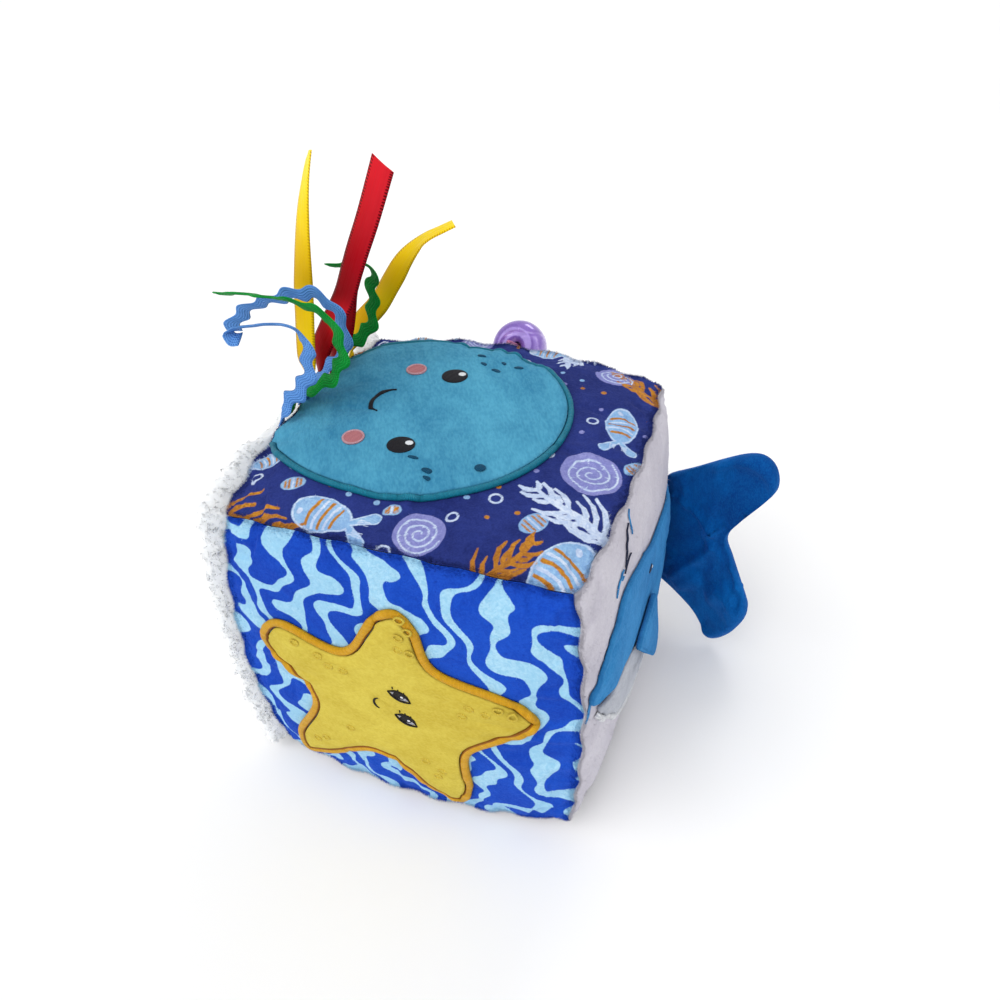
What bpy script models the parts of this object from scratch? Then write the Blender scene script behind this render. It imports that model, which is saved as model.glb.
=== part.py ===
"""Soft fabric activity block: a stuffed plush cube with sewn-on sea creatures, ribbons and a bead.

Units are metres and +Z is up. The origin is the centre of the flat spot that the block stands on.
The front panel (starfish) faces -Y, the right panel (whale) faces +X, the top panel (jellyfish)
faces +Z and the fleece panel faces -X. Each moving piece has its object origin on its hinge line.
"""

import math

import bmesh
import bpy
import numpy as np
from mathutils import Matrix, Vector

# Block: the stuffed cube across its seams, how far each panel's crown stands out beyond the seams,
# and how far the corners are drawn in
SEAM_TO_SEAM = 0.1408
CROWN_RISE = 0.0029
CORNER_DRAW = 0.0053
FACE_TO_FACE = SEAM_TO_SEAM + 2 * CROWN_RISE
CORNER_TO_CORNER = SEAM_TO_SEAM - 2 * CORNER_DRAW
REST_CUT = 0.0005
PANEL_CLOTH = 0.0022
FLEECE_PILE = 0.0035
FLEECE_SHOULDER = 0.006
SEAM_DEPTH = 0.0012
SEAM_ROUND = 0.0025
PANEL_CELLS = 12
CORE_CELLS = 9
PANEL_CROWDING = 1.8
SHARP_ANGLE = math.radians(50)

# Clearances: between neighbouring pieces of cloth, and between stacked layers of curved cloth
CLOTH_GAP = 0.0003
LAYER_GAP = 0.0004

# Points closer than this are one point
WELD = 0.000001

# Appliqués and their stitching
PATCH_CLOTH = 0.0015
SATIN_WIDTH = 0.0034
SATIN_HEIGHT = 0.0022
THREAD_HEIGHT = 0.0006
PATCH_RING_SHARES = (0.4, 0.75, 1.0)
STAR_RING_SHARES = (0.3, 0.6, 0.82, 1.0)
SPOT_SIDES = 16
ARC_STEPS = 8
FACE_LIFT = 2 * LAYER_GAP + PATCH_CLOTH

# Rounds of the search for a place on the curved cloth, and points per stretch of a smooth curve
SEARCH_ROUNDS = 8
CURVE_STEPS = 16

# Jellyfish on the top panel: a dome whose flat side runs into the left seam
JELLY_HALF_WIDTH = 0.054
JELLY_CENTRE_SHARES = (-0.26, 0.093)
JELLY_REACH_RIGHT = 0.055
JELLY_REACH_LEFT = 0.068
JELLY_SEAM_MARGIN = 0.0062
JELLY_EYE_SHARES = (0.056, 0.115)
JELLY_EYES_AT_SHARES = ((-0.246, -0.415), (-0.226, 0.491))
JELLY_CHEEK_SHARES = (0.078, 0.096)
JELLY_CHEEKS_AT_SHARES = ((-0.594, -0.426), (-0.541, 0.504))
JELLY_SMILE_AT_SHARES = (-0.519, 0.044)
JELLY_SMILE_RADIUS = 0.0080
JELLY_SMILE_THREAD = 0.0016
JELLY_SMILE_ANGLES = (math.radians(100), math.radians(258))
JELLY_EDGE_POINTS = 40
JELLY_CHORD_POINTS = 6

# Starfish on the front panel
STAR_SPAN = 0.111
STAR_POINT_SHARES = (
    (-0.50, 0.07), (-0.48, 0.18), (-0.38, 0.25), (-0.17, 0.20), (-0.05, 0.38), (0.04, 0.435),
    (0.11, 0.37), (0.165, 0.215), (0.39, 0.16), (0.495, 0.075), (0.46, 0.0), (0.26, -0.18),
    (0.25, -0.41), (0.20, -0.54), (0.09, -0.485), (-0.10, -0.33), (-0.31, -0.45), (-0.43, -0.49),
    (-0.445, -0.36), (-0.33, -0.10),
)
STAR_HEART_SHARES = (0.0, -0.03)
STAR_EYE_SHARES = (0.038, 0.022)
STAR_EYES_AT_SHARES = ((0.027, 0.052), (0.040, -0.066))
STAR_MOUTH_AT_SHARES = (-0.046, -0.014)
STAR_MOUTH_RADIUS = 0.0030
STAR_MOUTH_THREAD = 0.0010
STAR_MOUTH_ANGLES = (math.radians(110), math.radians(250))
STAR_EDGE_POINTS = 60

# Whale on the right panel: its body runs from seam to seam, to where the tail is sewn
WHALE_SEAM_MARGIN = 0.0054
WHALE_LENGTH = SEAM_TO_SEAM - 2 * WHALE_SEAM_MARGIN
WHALE_BODY_SHARES = (
    (-0.50, 0.095), (-0.475, 0.155), (-0.41, 0.205), (-0.34, 0.255), (-0.28, 0.30),
    (-0.21, 0.305), (-0.11, 0.28), (-0.03, 0.25), (0.06, 0.21), (0.16, 0.185), (0.28, 0.17),
    (0.39, 0.15), (0.485, 0.11), (0.49, -0.12), (0.485, -0.335), (0.35, -0.312), (0.21, -0.236),
    (0.07, -0.152), (-0.06, -0.076), (-0.18, -0.015), (-0.28, 0.016), (-0.38, 0.040),
    (-0.455, 0.058),
)
WHALE_HEART_SHARES = (-0.02, 0.06)
BELLY_TOP_SHARES = (
    (-0.455, 0.040), (-0.38, 0.024), (-0.28, 0.0), (-0.18, -0.031), (-0.06, -0.092),
    (0.07, -0.168), (0.21, -0.252), (0.35, -0.328),
)
BELLY_BOTTOM_SHARES = (
    (-0.470, 0.016), (-0.435, -0.035), (-0.37, -0.105), (-0.28, -0.19), (-0.16, -0.27),
    (0.0, -0.34), (0.18, -0.385), (0.36, -0.395),
)
BELLY_STITCH = 0.0022
WHALE_EDGE_POINTS = 46
BELLY_EDGE_POINTS = 18
BELLY_ROWS = 3
WHALE_EYE_SHARES = (0.017, 0.014)
WHALE_EYE_AT_SHARES = (0.0, 0.165)
FIN_SPAN = 0.0300
FIN_DROP = 0.0360
FIN_ROOT_SHARES = (-0.045, -0.005)
FIN_LEAN = math.radians(3)
FIN_HALF_THICKNESS = 0.0018
FIN_EDGE = 0.0009
FIN_OUTLINE_SHARES = (
    (-0.50, 0.0), (0.0, 0.0), (0.50, 0.0), (0.60, -0.35), (0.67, -0.68), (0.65, -0.92),
    (0.54, -1.0), (0.38, -0.91), (0.02, -0.58), (-0.28, -0.27),
)
FIN_HEART_SHARES = (0.25, -0.42)
FIN_RING_SHARES = (0.6, 0.9, 1.0)
FIN_EDGE_POINTS = 24

# Whale tail: two skins and their filling, sewn into the back right seam
TAIL_LENGTH = 0.056
TAIL_OUTLINE_SHARES = (
    (0.0, 0.26), (0.23, 0.44), (0.49, 0.66), (0.665, 0.79), (0.79, 0.835), (0.89, 0.79),
    (0.94, 0.66), (0.905, 0.51), (0.71, 0.165), (0.61, -0.06), (0.685, -0.23), (0.79, -0.43),
    (0.88, -0.61), (0.895, -0.77), (0.83, -0.97), (0.71, -1.15), (0.60, -1.22), (0.54, -1.13),
    (0.42, -1.0), (0.22, -0.90), (0.0, -0.82),
)
TAIL_HEART_SHARES = (0.40, -0.18)
TAIL_YAW = math.radians(-25)
TAIL_HALF_THICKNESS = 0.0080
TAIL_CLOTH = 0.0014
TAIL_TAPER = 0.0260
TAIL_SEAM_OFFSET = 0.0016
TAIL_RING_SHARES = (0.35, 0.62, 0.82, 0.93, 1.0)
TAIL_FILLING_SHARE = 0.80
TAIL_FILLING_RING_SHARES = (0.44, 0.78, 1.0)
TAIL_EDGE_POINTS = 38

# Strands sewn into the top left seam, each inside its own strip of the seam
RIBBON_WIDTH = 0.0095
RIBBON_THICKNESS = 0.0006
RICRAC_BAND = 0.0066
RICRAC_SWING = 0.0011
RICRAC_PITCH = 0.0110
RICRAC_THICKNESS = 0.0011
RICRAC_RUN_IN = 0.0100
STRAND_SEAM_OFFSET = 0.0008
STRAND_PITCH = 0.0080
STRAND_FIRST_AT = -0.0140
ROOT_PINCH = 0.0068
ROOT_PINCH_RUN = 0.0120
RIBBON_STEP = 0.0065
RICRAC_STEP = 0.0028
ROUTE_POINTS = 200
SECTION_CORNERS = ((-1, -1), (1, -1), (1, 1), (-1, 1))

BLUE_FRONT_LENGTH = 0.0880
GREEN_FRONT_LENGTH = 0.1045
BLUE_BACK_LENGTH = 0.1110
YELLOW_LEFT_LENGTH = 0.1035
RED_FRONT_LENGTH = 0.1045
RED_BACK_LENGTH = 0.0670
GREEN_BACK_LENGTH = 0.0740
YELLOW_RIGHT_LENGTH = 0.0905

# Each strand: its name, kind, finish and length, the shares of that length that its route runs
# across and up, and its twist in degrees at shares of the length
STRANDS = (
    ("blue_ricrac_front", "ricrac", "ricrac_blue", BLUE_FRONT_LENGTH,
     ((0.0, 0.0), (0.028, 0.078), (0.09, 0.15), (0.155, 0.225), (0.19, 0.30), (0.195, 0.37),
      (0.20, 0.43), (0.165, 0.475), (0.11, 0.49), (0.04, 0.482), (-0.043, 0.462),
      (-0.112, 0.442), (-0.165, 0.41), (-0.10, 0.39)),
     ((0.0, 0), (0.15, 80), (0.48, 80), (0.62, 30), (1.0, 20))),
    ("green_ricrac_front", "ricrac", "ricrac_green", GREEN_FRONT_LENGTH,
     ((0.0, 0.0), (0.030, 0.062), (0.105, 0.12), (0.185, 0.17), (0.235, 0.23), (0.258, 0.28),
      (0.260, 0.335), (0.247, 0.39), (0.225, 0.43), (0.15, 0.46), (0.09, 0.472), (0.022, 0.474),
      (-0.039, 0.473), (-0.109, 0.471), (-0.205, 0.458)),
     ((0.0, 0), (0.22, 35), (0.40, 75), (0.62, 65), (0.80, 20), (1.0, 35))),
    ("blue_ricrac_back", "ricrac", "ricrac_blue", BLUE_BACK_LENGTH,
     ((0.0, 0.0), (0.07, 0.09), (0.155, 0.18), (0.205, 0.235), (0.222, 0.29), (0.215, 0.35),
      (0.195, 0.395), (0.145, 0.43), (0.085, 0.432), (-0.018, 0.398), (-0.118, 0.356),
      (-0.18, 0.31), (-0.225, 0.245)),
     ((0.0, 0), (0.20, 45), (0.42, 75), (0.62, 75), (0.80, 45), (1.0, 55))),
    ("yellow_ribbon_left", "ribbon", "satin_yellow", YELLOW_LEFT_LENGTH,
     ((0.0, 0.0), (0.002, 0.052), (0.006, 0.143), (0.02, 0.245), (0.04, 0.374), (0.055, 0.47),
      (0.095, 0.69), (0.138, 0.852), (0.184, 0.975)),
     ((0.0, 0), (0.12, 80), (0.45, 80), (0.75, 55), (1.0, 27))),
    ("red_ribbon_front", "ribbon", "satin_red", RED_FRONT_LENGTH,
     ((0.0, 0.0), (0.0, 0.07), (0.024, 0.15), (0.09, 0.268), (0.162, 0.39), (0.21, 0.50),
      (0.245, 0.58), (0.305, 0.71), (0.385, 0.90)),
     ((0.0, 0), (0.13, 80), (1.0, 86))),
    ("red_ribbon_back", "ribbon", "satin_red", RED_BACK_LENGTH,
     ((0.0, 0.0), (0.028, 0.11), (0.085, 0.215), (0.145, 0.335), (0.183, 0.469), (0.215, 0.61),
      (0.27, 0.78), (0.335, 0.93)),
     ((0.0, 0), (0.18, 75), (1.0, 75))),
    ("green_ricrac_back", "ricrac", "ricrac_green", GREEN_BACK_LENGTH,
     ((0.0, 0.0), (0.022, 0.09), (0.105, 0.175), (0.195, 0.245), (0.232, 0.335), (0.245, 0.41),
      (0.25, 0.49), (0.27, 0.55), (0.262, 0.605), (0.215, 0.628), (0.14, 0.618), (0.03, 0.585)),
     ((0.0, 0), (0.20, 70), (0.62, 75), (0.80, 30), (1.0, 40))),
    ("yellow_ribbon_right", "ribbon", "satin_yellow", YELLOW_RIGHT_LENGTH,
     ((0.0, 0.0), (0.0, 0.045), (0.020, 0.11), (0.085, 0.205), (0.185, 0.315), (0.26, 0.43),
      (0.335, 0.54), (0.415, 0.625), (0.47, 0.667), (0.60, 0.74)),
     ((0.0, 0), (0.14, 75), (0.60, 70), (0.84, 10), (1.0, 8))),
)

# Bead on its cord, hanging behind the top back seam
BEAD_FULLNESS = 0.6
BEAD_STEPS = 8
KNOT_STEPS = 6
BEAD_RADIUS = 0.0125
BEAD_LENGTH = 0.0170
BEAD_HOLE = 0.0021
BEAD_DIMPLE = 0.0046
BEAD_DIMPLE_DEPTH = 0.0022
BEAD_AT = -0.0050
BEAD_DISTANCE = 0.0190
CORD_RADIUS = 0.0012
CORD_SLOPE = math.radians(-36)
CORD_START = 0.0004
CORD_SEAM_OFFSET = 0.0013
KNOT_RADIUS = 0.0036
KNOT_GAP = 0.0004
CORD_TAIL = 0.0050
BEAD_SIDES = 24
CORD_SIDES = 10

# Colour, roughness and metallic value of each material
FINISHES = {
    "filling_white": ((0.86, 0.86, 0.84), 0.95, 0.0),
    "plush_navy": ((0.012, 0.018, 0.19), 0.85, 0.0),
    "plush_royal_blue": ((0.014, 0.055, 0.50), 0.85, 0.0),
    "plush_blush": ((0.61, 0.54, 0.60), 0.85, 0.0),
    "fleece_white": ((0.66, 0.67, 0.66), 0.95, 0.0),
    "plush_aqua": ((0.09, 0.38, 0.62), 0.80, 0.0),
    "thread_teal": ((0.007, 0.22, 0.35), 0.45, 0.0),
    "plush_yellow": ((0.80, 0.60, 0.12), 0.80, 0.0),
    "thread_gold": ((0.75, 0.37, 0.010), 0.45, 0.0),
    "plush_ocean": ((0.020, 0.22, 0.52), 0.80, 0.0),
    "plush_grey": ((0.45, 0.45, 0.47), 0.90, 0.0),
    "plush_deep_blue": ((0.0, 0.09, 0.37), 0.80, 0.0),
    "thread_black": ((0.008, 0.008, 0.012), 0.50, 0.0),
    "thread_salmon": ((0.68, 0.22, 0.21), 0.60, 0.0),
    "thread_white": ((0.80, 0.80, 0.80), 0.55, 0.0),
    "satin_yellow": ((0.93, 0.65, 0.0), 0.35, 0.0),
    "satin_red": ((0.43, 0.0, 0.008), 0.35, 0.0),
    "ricrac_blue": ((0.10, 0.28, 0.72), 0.70, 0.0),
    "ricrac_green": ((0.003, 0.18, 0.02), 0.70, 0.0),
    "bead_purple": ((0.21, 0.10, 0.51), 0.18, 0.0),
    "cord_pink": ((0.55, 0.20, 0.38), 0.70, 0.0),
}

CENTRE_HEIGHT = FACE_TO_FACE / 2 - REST_CUT

# Outward direction, first in-plane direction and second in-plane direction of each panel
PANEL_FRAMES = {
    "top": ((0, 0, 1), (1, 0, 0), (0, 1, 0)),
    "bottom": ((0, 0, -1), (1, 0, 0), (0, -1, 0)),
    "front": ((0, -1, 0), (1, 0, 0), (0, 0, 1)),
    "back": ((0, 1, 0), (-1, 0, 0), (0, 0, 1)),
    "right": ((1, 0, 0), (0, 1, 0), (0, 0, 1)),
    "left": ((-1, 0, 0), (0, -1, 0), (0, 0, 1)),
}


def clear_scene():
    """Remove every object that the scene starts with."""
    for item in list(bpy.data.objects):
        bpy.data.objects.remove(item, do_unlink=True)


def finish(name):
    """Return the material of that name, made once from FINISHES."""
    found = bpy.data.materials.get(name)
    if found:
        return found
    colour, roughness, metallic = FINISHES[name]
    material = bpy.data.materials.new(name)
    material.use_nodes = True
    shader = material.node_tree.nodes["Principled BSDF"]
    shader.inputs["Base Color"].default_value = (*colour, 1.0)
    shader.inputs["Roughness"].default_value = roughness
    shader.inputs["Metallic"].default_value = metallic
    material.diffuse_color = (*colour, 1.0)
    return material


def add_piece(name, solid, material, parent, location=(0, 0, 0), rotation=(0, 0, 0)):
    """Turn a closed bmesh into one smooth-shaded object whose faces point out."""
    bmesh.ops.recalc_face_normals(solid, faces=solid.faces)
    if solid.calc_volume(signed=True) < 0:
        bmesh.ops.reverse_faces(solid, faces=solid.faces)
    bmesh.ops.triangulate(solid, faces=solid.faces)
    mesh = bpy.data.meshes.new(name)
    solid.to_mesh(mesh)
    solid.free()
    mesh.shade_smooth()
    mesh.set_sharp_from_angle(angle=SHARP_ANGLE)
    mesh.materials.append(finish(material))
    piece = bpy.data.objects.new(name, mesh)
    piece.location = location
    piece.rotation_euler = rotation
    piece.parent = parent
    bpy.context.scene.collection.objects.link(piece)
    return piece


def thicken(flat, place):
    """Give a flat pattern piece two sides, each point where place(spot, side) lays it."""
    under = list(flat.verts)
    made = bmesh.ops.extrude_face_region(flat, geom=flat.faces)["geom"]
    over = [item for item in made if isinstance(item, bmesh.types.BMVert)]
    for side, verts in enumerate((under, over)):
        for vert in verts:
            vert.co = place(vert.co.copy(), side)
    return flat


def outline_fan(outline, heart, ring_shares):
    """A flat pattern piece filled inward from its outline in rings, down to its middle point.

    The third coordinate of each point is its share of the way from the middle to the outline.
    """
    flat = bmesh.new()
    middle = Vector((*heart, 0.0))
    verts = [flat.verts.new((*p, 1.0)) for p in outline]
    ring = [flat.edges.new(pair) for pair in zip(verts, verts[1:] + verts[:1])]
    for outer, inner in zip(ring_shares[:0:-1], ring_shares[-2::-1]):
        made = bmesh.ops.extrude_edge_only(flat, edges=ring)["geom"]
        moved = {item for item in made if isinstance(item, bmesh.types.BMVert)}
        ring = [item for item in made
                if isinstance(item, bmesh.types.BMEdge) and set(item.verts) <= moved]
        for vert in moved:
            vert.co = middle + (vert.co - middle) * (inner / outer)
    filled = bmesh.ops.contextual_create(flat, geom=ring)["faces"]
    centre = bmesh.ops.poke(flat, faces=filled)["verts"][0]
    centre.co = middle
    return flat


def rolled_tube(stations, corners, place):
    """A grid rolled up into a tube, welded along its seams and closed at any open end."""
    tube = bmesh.new()
    bmesh.ops.create_grid(tube, x_segments=stations, y_segments=corners, size=0.5)
    for vert in tube.verts:
        station = round((vert.co.x + 0.5) * stations)
        corner = round((vert.co.y + 0.5) * corners) % corners
        vert.co = place(station, corner)
    bmesh.ops.remove_doubles(tube, verts=tube.verts, dist=WELD)
    bmesh.ops.holes_fill(tube, edges=tube.edges)
    return tube


def turned(section, sides, closed):
    """A section of (radius, height) pairs spun about Z."""
    solid = bmesh.new()
    verts = [solid.verts.new((radius, 0.0, height)) for radius, height in section]
    following = verts[1:] + verts[:1] if closed else verts[1:]
    edges = [solid.edges.new(pair) for pair in zip(verts, following)]
    bmesh.ops.spin(solid, geom=verts + edges, cent=(0, 0, 0), axis=(0, 0, 1),
                   steps=sides, angle=2 * math.pi, use_merge=True)
    bmesh.ops.remove_doubles(solid, verts=solid.verts, dist=WELD)
    return solid


def stuffed_reach(n):
    """Half width of the stuffed cube along a cube direction whose length is n times its largest part."""
    knots = (
        (1.0, FACE_TO_FACE / 2),
        (1 / math.sqrt(2), SEAM_TO_SEAM / 2),
        (1 / math.sqrt(3), CORNER_TO_CORNER / 2),
    )
    total = 0.0
    for i, (w, value) in enumerate(knots):
        for j, (other, _) in enumerate(knots):
            if j != i:
                value *= (1 / n - other) / (w - other)
        total += value
    return total


def seam_dip(u, v, reach):
    """How far the stitches draw the cloth in at a place, given as shares of the panel."""
    return SEAM_DEPTH * math.exp(-(1 - max(abs(u), abs(v))) * reach / SEAM_ROUND)


def panel_point(panel, u, v, lift=0.0, fleece=0.0):
    """A point of a panel at the shares u and v of its half width, lifted straight outward."""
    outward, first, second = (Vector(d) for d in PANEL_FRAMES[panel])
    reach = stuffed_reach(math.sqrt(1 + u * u + v * v))
    dip = seam_dip(u, v, reach)
    pile = fleece * (1 - math.exp(-(1 - max(abs(u), abs(v))) * reach / FLEECE_SHOULDER))
    return (outward + first * u + second * v) * (reach - dip + pile + lift)


def panel_shares(a, b):
    """The shares u and v of the panel place whose in-plane coordinates are a and b."""
    u = v = 0.0
    for _ in range(SEARCH_ROUNDS):
        reach = stuffed_reach(math.sqrt(1 + u * u + v * v))
        reach -= seam_dip(u, v, reach)
        u, v = a / reach, b / reach
    return u, v


def on_panel(panel, a, b, lift):
    """A point above the panel at the in-plane coordinates a and b, lifted along its normal."""
    u, v = panel_shares(a, b)
    step = CLOTH_GAP / FACE_TO_FACE
    across = panel_point(panel, u + step, v) - panel_point(panel, u - step, v)
    along = panel_point(panel, u, v + step) - panel_point(panel, u, v - step)
    return panel_point(panel, u, v) + across.cross(along).normalized() * lift


def seam_line(along):
    """Distance from the middle of the block to a seam, at a place along the seam."""
    reach = SEAM_TO_SEAM / 2
    for _ in range(SEARCH_ROUNDS):
        reach = stuffed_reach(math.sqrt(2 + (along / reach) ** 2)) - SEAM_DEPTH
    return reach


def panel_piece(panel, name, material, parent, fleece=0.0):
    """One sewn panel: a curved sheet of cloth whose edges stop half a gap short of the seams."""
    edge = 1 - CLOTH_GAP / (SEAM_TO_SEAM / 2)
    outward, first, second = (Vector(d) for d in PANEL_FRAMES[panel])

    def crowded(s):
        """The grid's rows drawn towards the seams, where the cloth curves most."""
        return math.copysign(1 - max(0.0, 1 - abs(s)) ** PANEL_CROWDING, s) * edge

    def place(spot, side):
        """The inner face on side 0 and the outer face on side 1."""
        u, v = crowded(spot.x), crowded(spot.y)
        if side == 0:
            reach = stuffed_reach(math.sqrt(1 + u * u + v * v)) - PANEL_CLOTH
            return (outward + first * u + second * v) * reach
        point = panel_point(panel, u, v, fleece=fleece)
        if panel == "bottom":
            point.z = max(point.z, -CENTRE_HEIGHT)
        return point

    flat = bmesh.new()
    bmesh.ops.create_grid(flat, x_segments=PANEL_CELLS, y_segments=PANEL_CELLS, size=1.0)
    add_piece(name, thicken(flat, place), material, parent)


def filling_core(parent):
    """The stuffing that fills the cover, one gap inside the panels."""
    solid = bmesh.new()
    bmesh.ops.create_cube(solid, size=2.0)
    bmesh.ops.subdivide_edges(solid, edges=solid.edges, cuts=CORE_CELLS - 1, use_grid_fill=True)
    for vert in solid.verts:
        vert.co *= stuffed_reach(vert.co.length) - PANEL_CLOTH - LAYER_GAP
    add_piece("filling_core", solid, "filling_white", parent)


def spline(points, count, closed):
    """Points at equal steps along a smooth curve through the given points."""
    pts = [np.array(p, float) for p in points]
    total = len(pts)
    dense = []
    spans = total if closed else total - 1
    for i in range(spans):
        if closed:
            p0, p1, p2, p3 = (pts[(i + k - 1) % total] for k in range(4))
        else:
            p1, p2 = pts[i], pts[i + 1]
            p0 = pts[i - 1] if i else 2 * p1 - p2
            p3 = pts[i + 2] if i + 2 < total else 2 * p2 - p1
        for t in (k / CURVE_STEPS for k in range(CURVE_STEPS)):
            dense.append(0.5 * (2 * p1 + (p2 - p0) * t + (2 * p0 - 5 * p1 + 4 * p2 - p3) * t**2
                                + (3 * p1 - p0 - 3 * p2 + p3) * t**3))
    dense.append(pts[0] if closed else pts[-1])
    dense = np.array(dense)
    walked = np.concatenate([[0.0], np.cumsum(np.linalg.norm(np.diff(dense, axis=0), axis=1))])
    stops = np.linspace(0.0, walked[-1], count + 1 if closed else count)
    if closed:
        stops = stops[:-1]
    return np.stack([np.interp(stops, walked, dense[:, k]) for k in range(dense.shape[1])], axis=1)


def inset(points, distance, closed):
    """The same outline moved inward, which is to its left as it runs."""
    moved = []
    total = len(points)
    for i in range(total):
        before = points[(i - 1) % total] if closed or i else points[0]
        after = points[(i + 1) % total] if closed or i < total - 1 else points[-1]
        run = after - before
        run /= np.linalg.norm(run)
        moved.append(points[i] + distance * np.array([-run[1], run[0]]))
    return np.array(moved)


def sized(shares, size):
    """One place, given as shares, in real size."""
    return tuple(s * size for s in shares)


def all_sized(table, size):
    """A table of places, given as shares, in real size."""
    return [sized(row, size) for row in table]


def counterclockwise(points):
    """The outline as it runs with its inside on the left."""
    x, y = points[:, 0], points[:, 1]
    area = np.sum(x * np.roll(y, -1) - np.roll(x, -1) * y)
    return points if area > 0 else points[::-1]


def patch(name, panel, outline, heart, lift, thickness, material, parent,
          rings=PATCH_RING_SHARES):
    """A patch of cloth that lies on a panel, filled from its middle out to its outline."""

    def place(spot, side):
        """The underside on side 0 and the top on side 1."""
        return on_panel(panel, spot.x, spot.y, lift + thickness * side)

    add_piece(name, thicken(outline_fan(outline, heart, rings), place), material, parent)


def band(name, panel, line, other, lift, profile, material, parent, closed=False):
    """A band on a panel between two lines, with its top given as (share across, height) pairs."""
    across = ((0.0, 0.0), *profile, (1.0, 0.0))

    def place(station, corner):
        """A corner of the band's section at a point along its lines."""
        share, height = across[corner]
        start, end = line[station % len(line)], other[station % len(line)]
        return on_panel(panel, *(start + (end - start) * share), lift + height)

    stations = len(line) if closed else len(line) - 1
    add_piece(name, rolled_tube(stations, len(across), place), material, parent)


def ellipse(centre, radii):
    """An ellipse's outline."""
    angles = [2 * math.pi * k / SPOT_SIDES for k in range(SPOT_SIDES)]
    return np.array([
        (centre[0] + radii[0] * math.cos(t), centre[1] + radii[1] * math.sin(t)) for t in angles
    ])


def stitched_spot(name, panel, centre, radii, material, parent):
    """A small satin-stitched oval on an appliqué."""
    outline = ellipse(centre, radii)
    patch(name, panel, outline, centre, FACE_LIFT, THREAD_HEIGHT, material, parent, (1.0,))


def stitched_arc(name, panel, centre, radius, limits, thread, material, parent):
    """A short stitched arc on an appliqué, such as a smile, from one angle to the other."""
    start, end = limits
    angles = [start + (end - start) * k / ARC_STEPS for k in range(ARC_STEPS + 1)]
    sides = [
        np.array([
            (centre[0] + r * math.cos(t), centre[1] + r * math.sin(t)) for t in angles
        ])
        for r in (radius - thread / 2, radius + thread / 2)
    ]
    profile = ((0.0, THREAD_HEIGHT), (1.0, THREAD_HEIGHT))
    band(name, panel, sides[0], sides[1], FACE_LIFT, profile, material, parent)


def jelly_outline():
    """The jellyfish's edge from the seam round its dome and back to the seam."""
    centre = sized(JELLY_CENTRE_SHARES, JELLY_HALF_WIDTH)
    start = JELLY_SEAM_MARGIN - SEAM_TO_SEAM / 2
    limit = math.acos(max(-1.0, (start - centre[0]) / JELLY_REACH_LEFT))
    places = []
    for t in np.linspace(-limit, limit, JELLY_EDGE_POINTS * 3 // 2):
        reach = JELLY_REACH_RIGHT if math.cos(t) > 0 else JELLY_REACH_LEFT
        places.append((centre[0] + reach * math.cos(t), centre[1] + JELLY_HALF_WIDTH * math.sin(t)))
    return spline(places, JELLY_EDGE_POINTS, closed=False)


def satin_profile():
    """The rounded ridge of a satin-stitched edge."""
    return ((0.0, SATIN_HEIGHT / 2), (0.5, SATIN_HEIGHT), (1.0, SATIN_HEIGHT / 2))


def jellyfish(parent):
    """The jellyfish on the top panel with its satin edge and its face."""
    edge = jelly_outline()
    inner = inset(edge, SATIN_WIDTH, closed=False)
    body = inset(edge, SATIN_WIDTH + CLOTH_GAP, closed=False)
    for line in (inner, body):
        line[[0, -1], 0] = edge[[0, -1], 0]
    band("jellyfish_satin_edge", "top", edge, inner, LAYER_GAP, satin_profile(),
               "thread_teal", parent)
    chord = np.linspace(body[-1], body[0], JELLY_CHORD_POINTS + 1)[1:-1]
    patch("jellyfish_body", "top", np.concatenate([body, chord]),
              sized(JELLY_CENTRE_SHARES, JELLY_HALF_WIDTH), LAYER_GAP, PATCH_CLOTH,
              "plush_aqua", parent)
    sides = ("front", "back")
    eye = sized(JELLY_EYE_SHARES, JELLY_HALF_WIDTH)
    for side, place in zip(sides, all_sized(JELLY_EYES_AT_SHARES, JELLY_HALF_WIDTH)):
        stitched_spot(f"jellyfish_eye_{side}", "top", place, eye, "thread_black", parent)
    cheek = sized(JELLY_CHEEK_SHARES, JELLY_HALF_WIDTH)
    for side, place in zip(sides, all_sized(JELLY_CHEEKS_AT_SHARES, JELLY_HALF_WIDTH)):
        stitched_spot(f"jellyfish_cheek_{side}", "top", place, cheek, "thread_salmon", parent)
    stitched_arc("jellyfish_smile", "top", sized(JELLY_SMILE_AT_SHARES, JELLY_HALF_WIDTH),
                 JELLY_SMILE_RADIUS, JELLY_SMILE_ANGLES, JELLY_SMILE_THREAD, "thread_black", parent)


def starfish(parent):
    """The starfish on the front panel with its satin edge and its face."""
    edge = spline(all_sized(STAR_POINT_SHARES, STAR_SPAN), STAR_EDGE_POINTS, closed=True)
    edge = counterclockwise(edge)
    inner = inset(edge, SATIN_WIDTH, closed=True)
    band("starfish_satin_edge", "front", edge, inner, LAYER_GAP, satin_profile(),
               "thread_gold", parent, closed=True)
    body = inset(edge, SATIN_WIDTH + CLOTH_GAP, closed=True)
    patch("starfish_body", "front", body, sized(STAR_HEART_SHARES, STAR_SPAN), LAYER_GAP,
              PATCH_CLOTH, "plush_yellow", parent, STAR_RING_SHARES)
    eye = sized(STAR_EYE_SHARES, STAR_SPAN)
    for side, place in zip(("upper", "lower"), all_sized(STAR_EYES_AT_SHARES, STAR_SPAN)):
        stitched_spot(f"starfish_eye_{side}", "front", place, eye, "thread_black", parent)
    stitched_arc("starfish_mouth", "front", sized(STAR_MOUTH_AT_SHARES, STAR_SPAN),
                 STAR_MOUTH_RADIUS, STAR_MOUTH_ANGLES, STAR_MOUTH_THREAD, "thread_black", parent)


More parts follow.
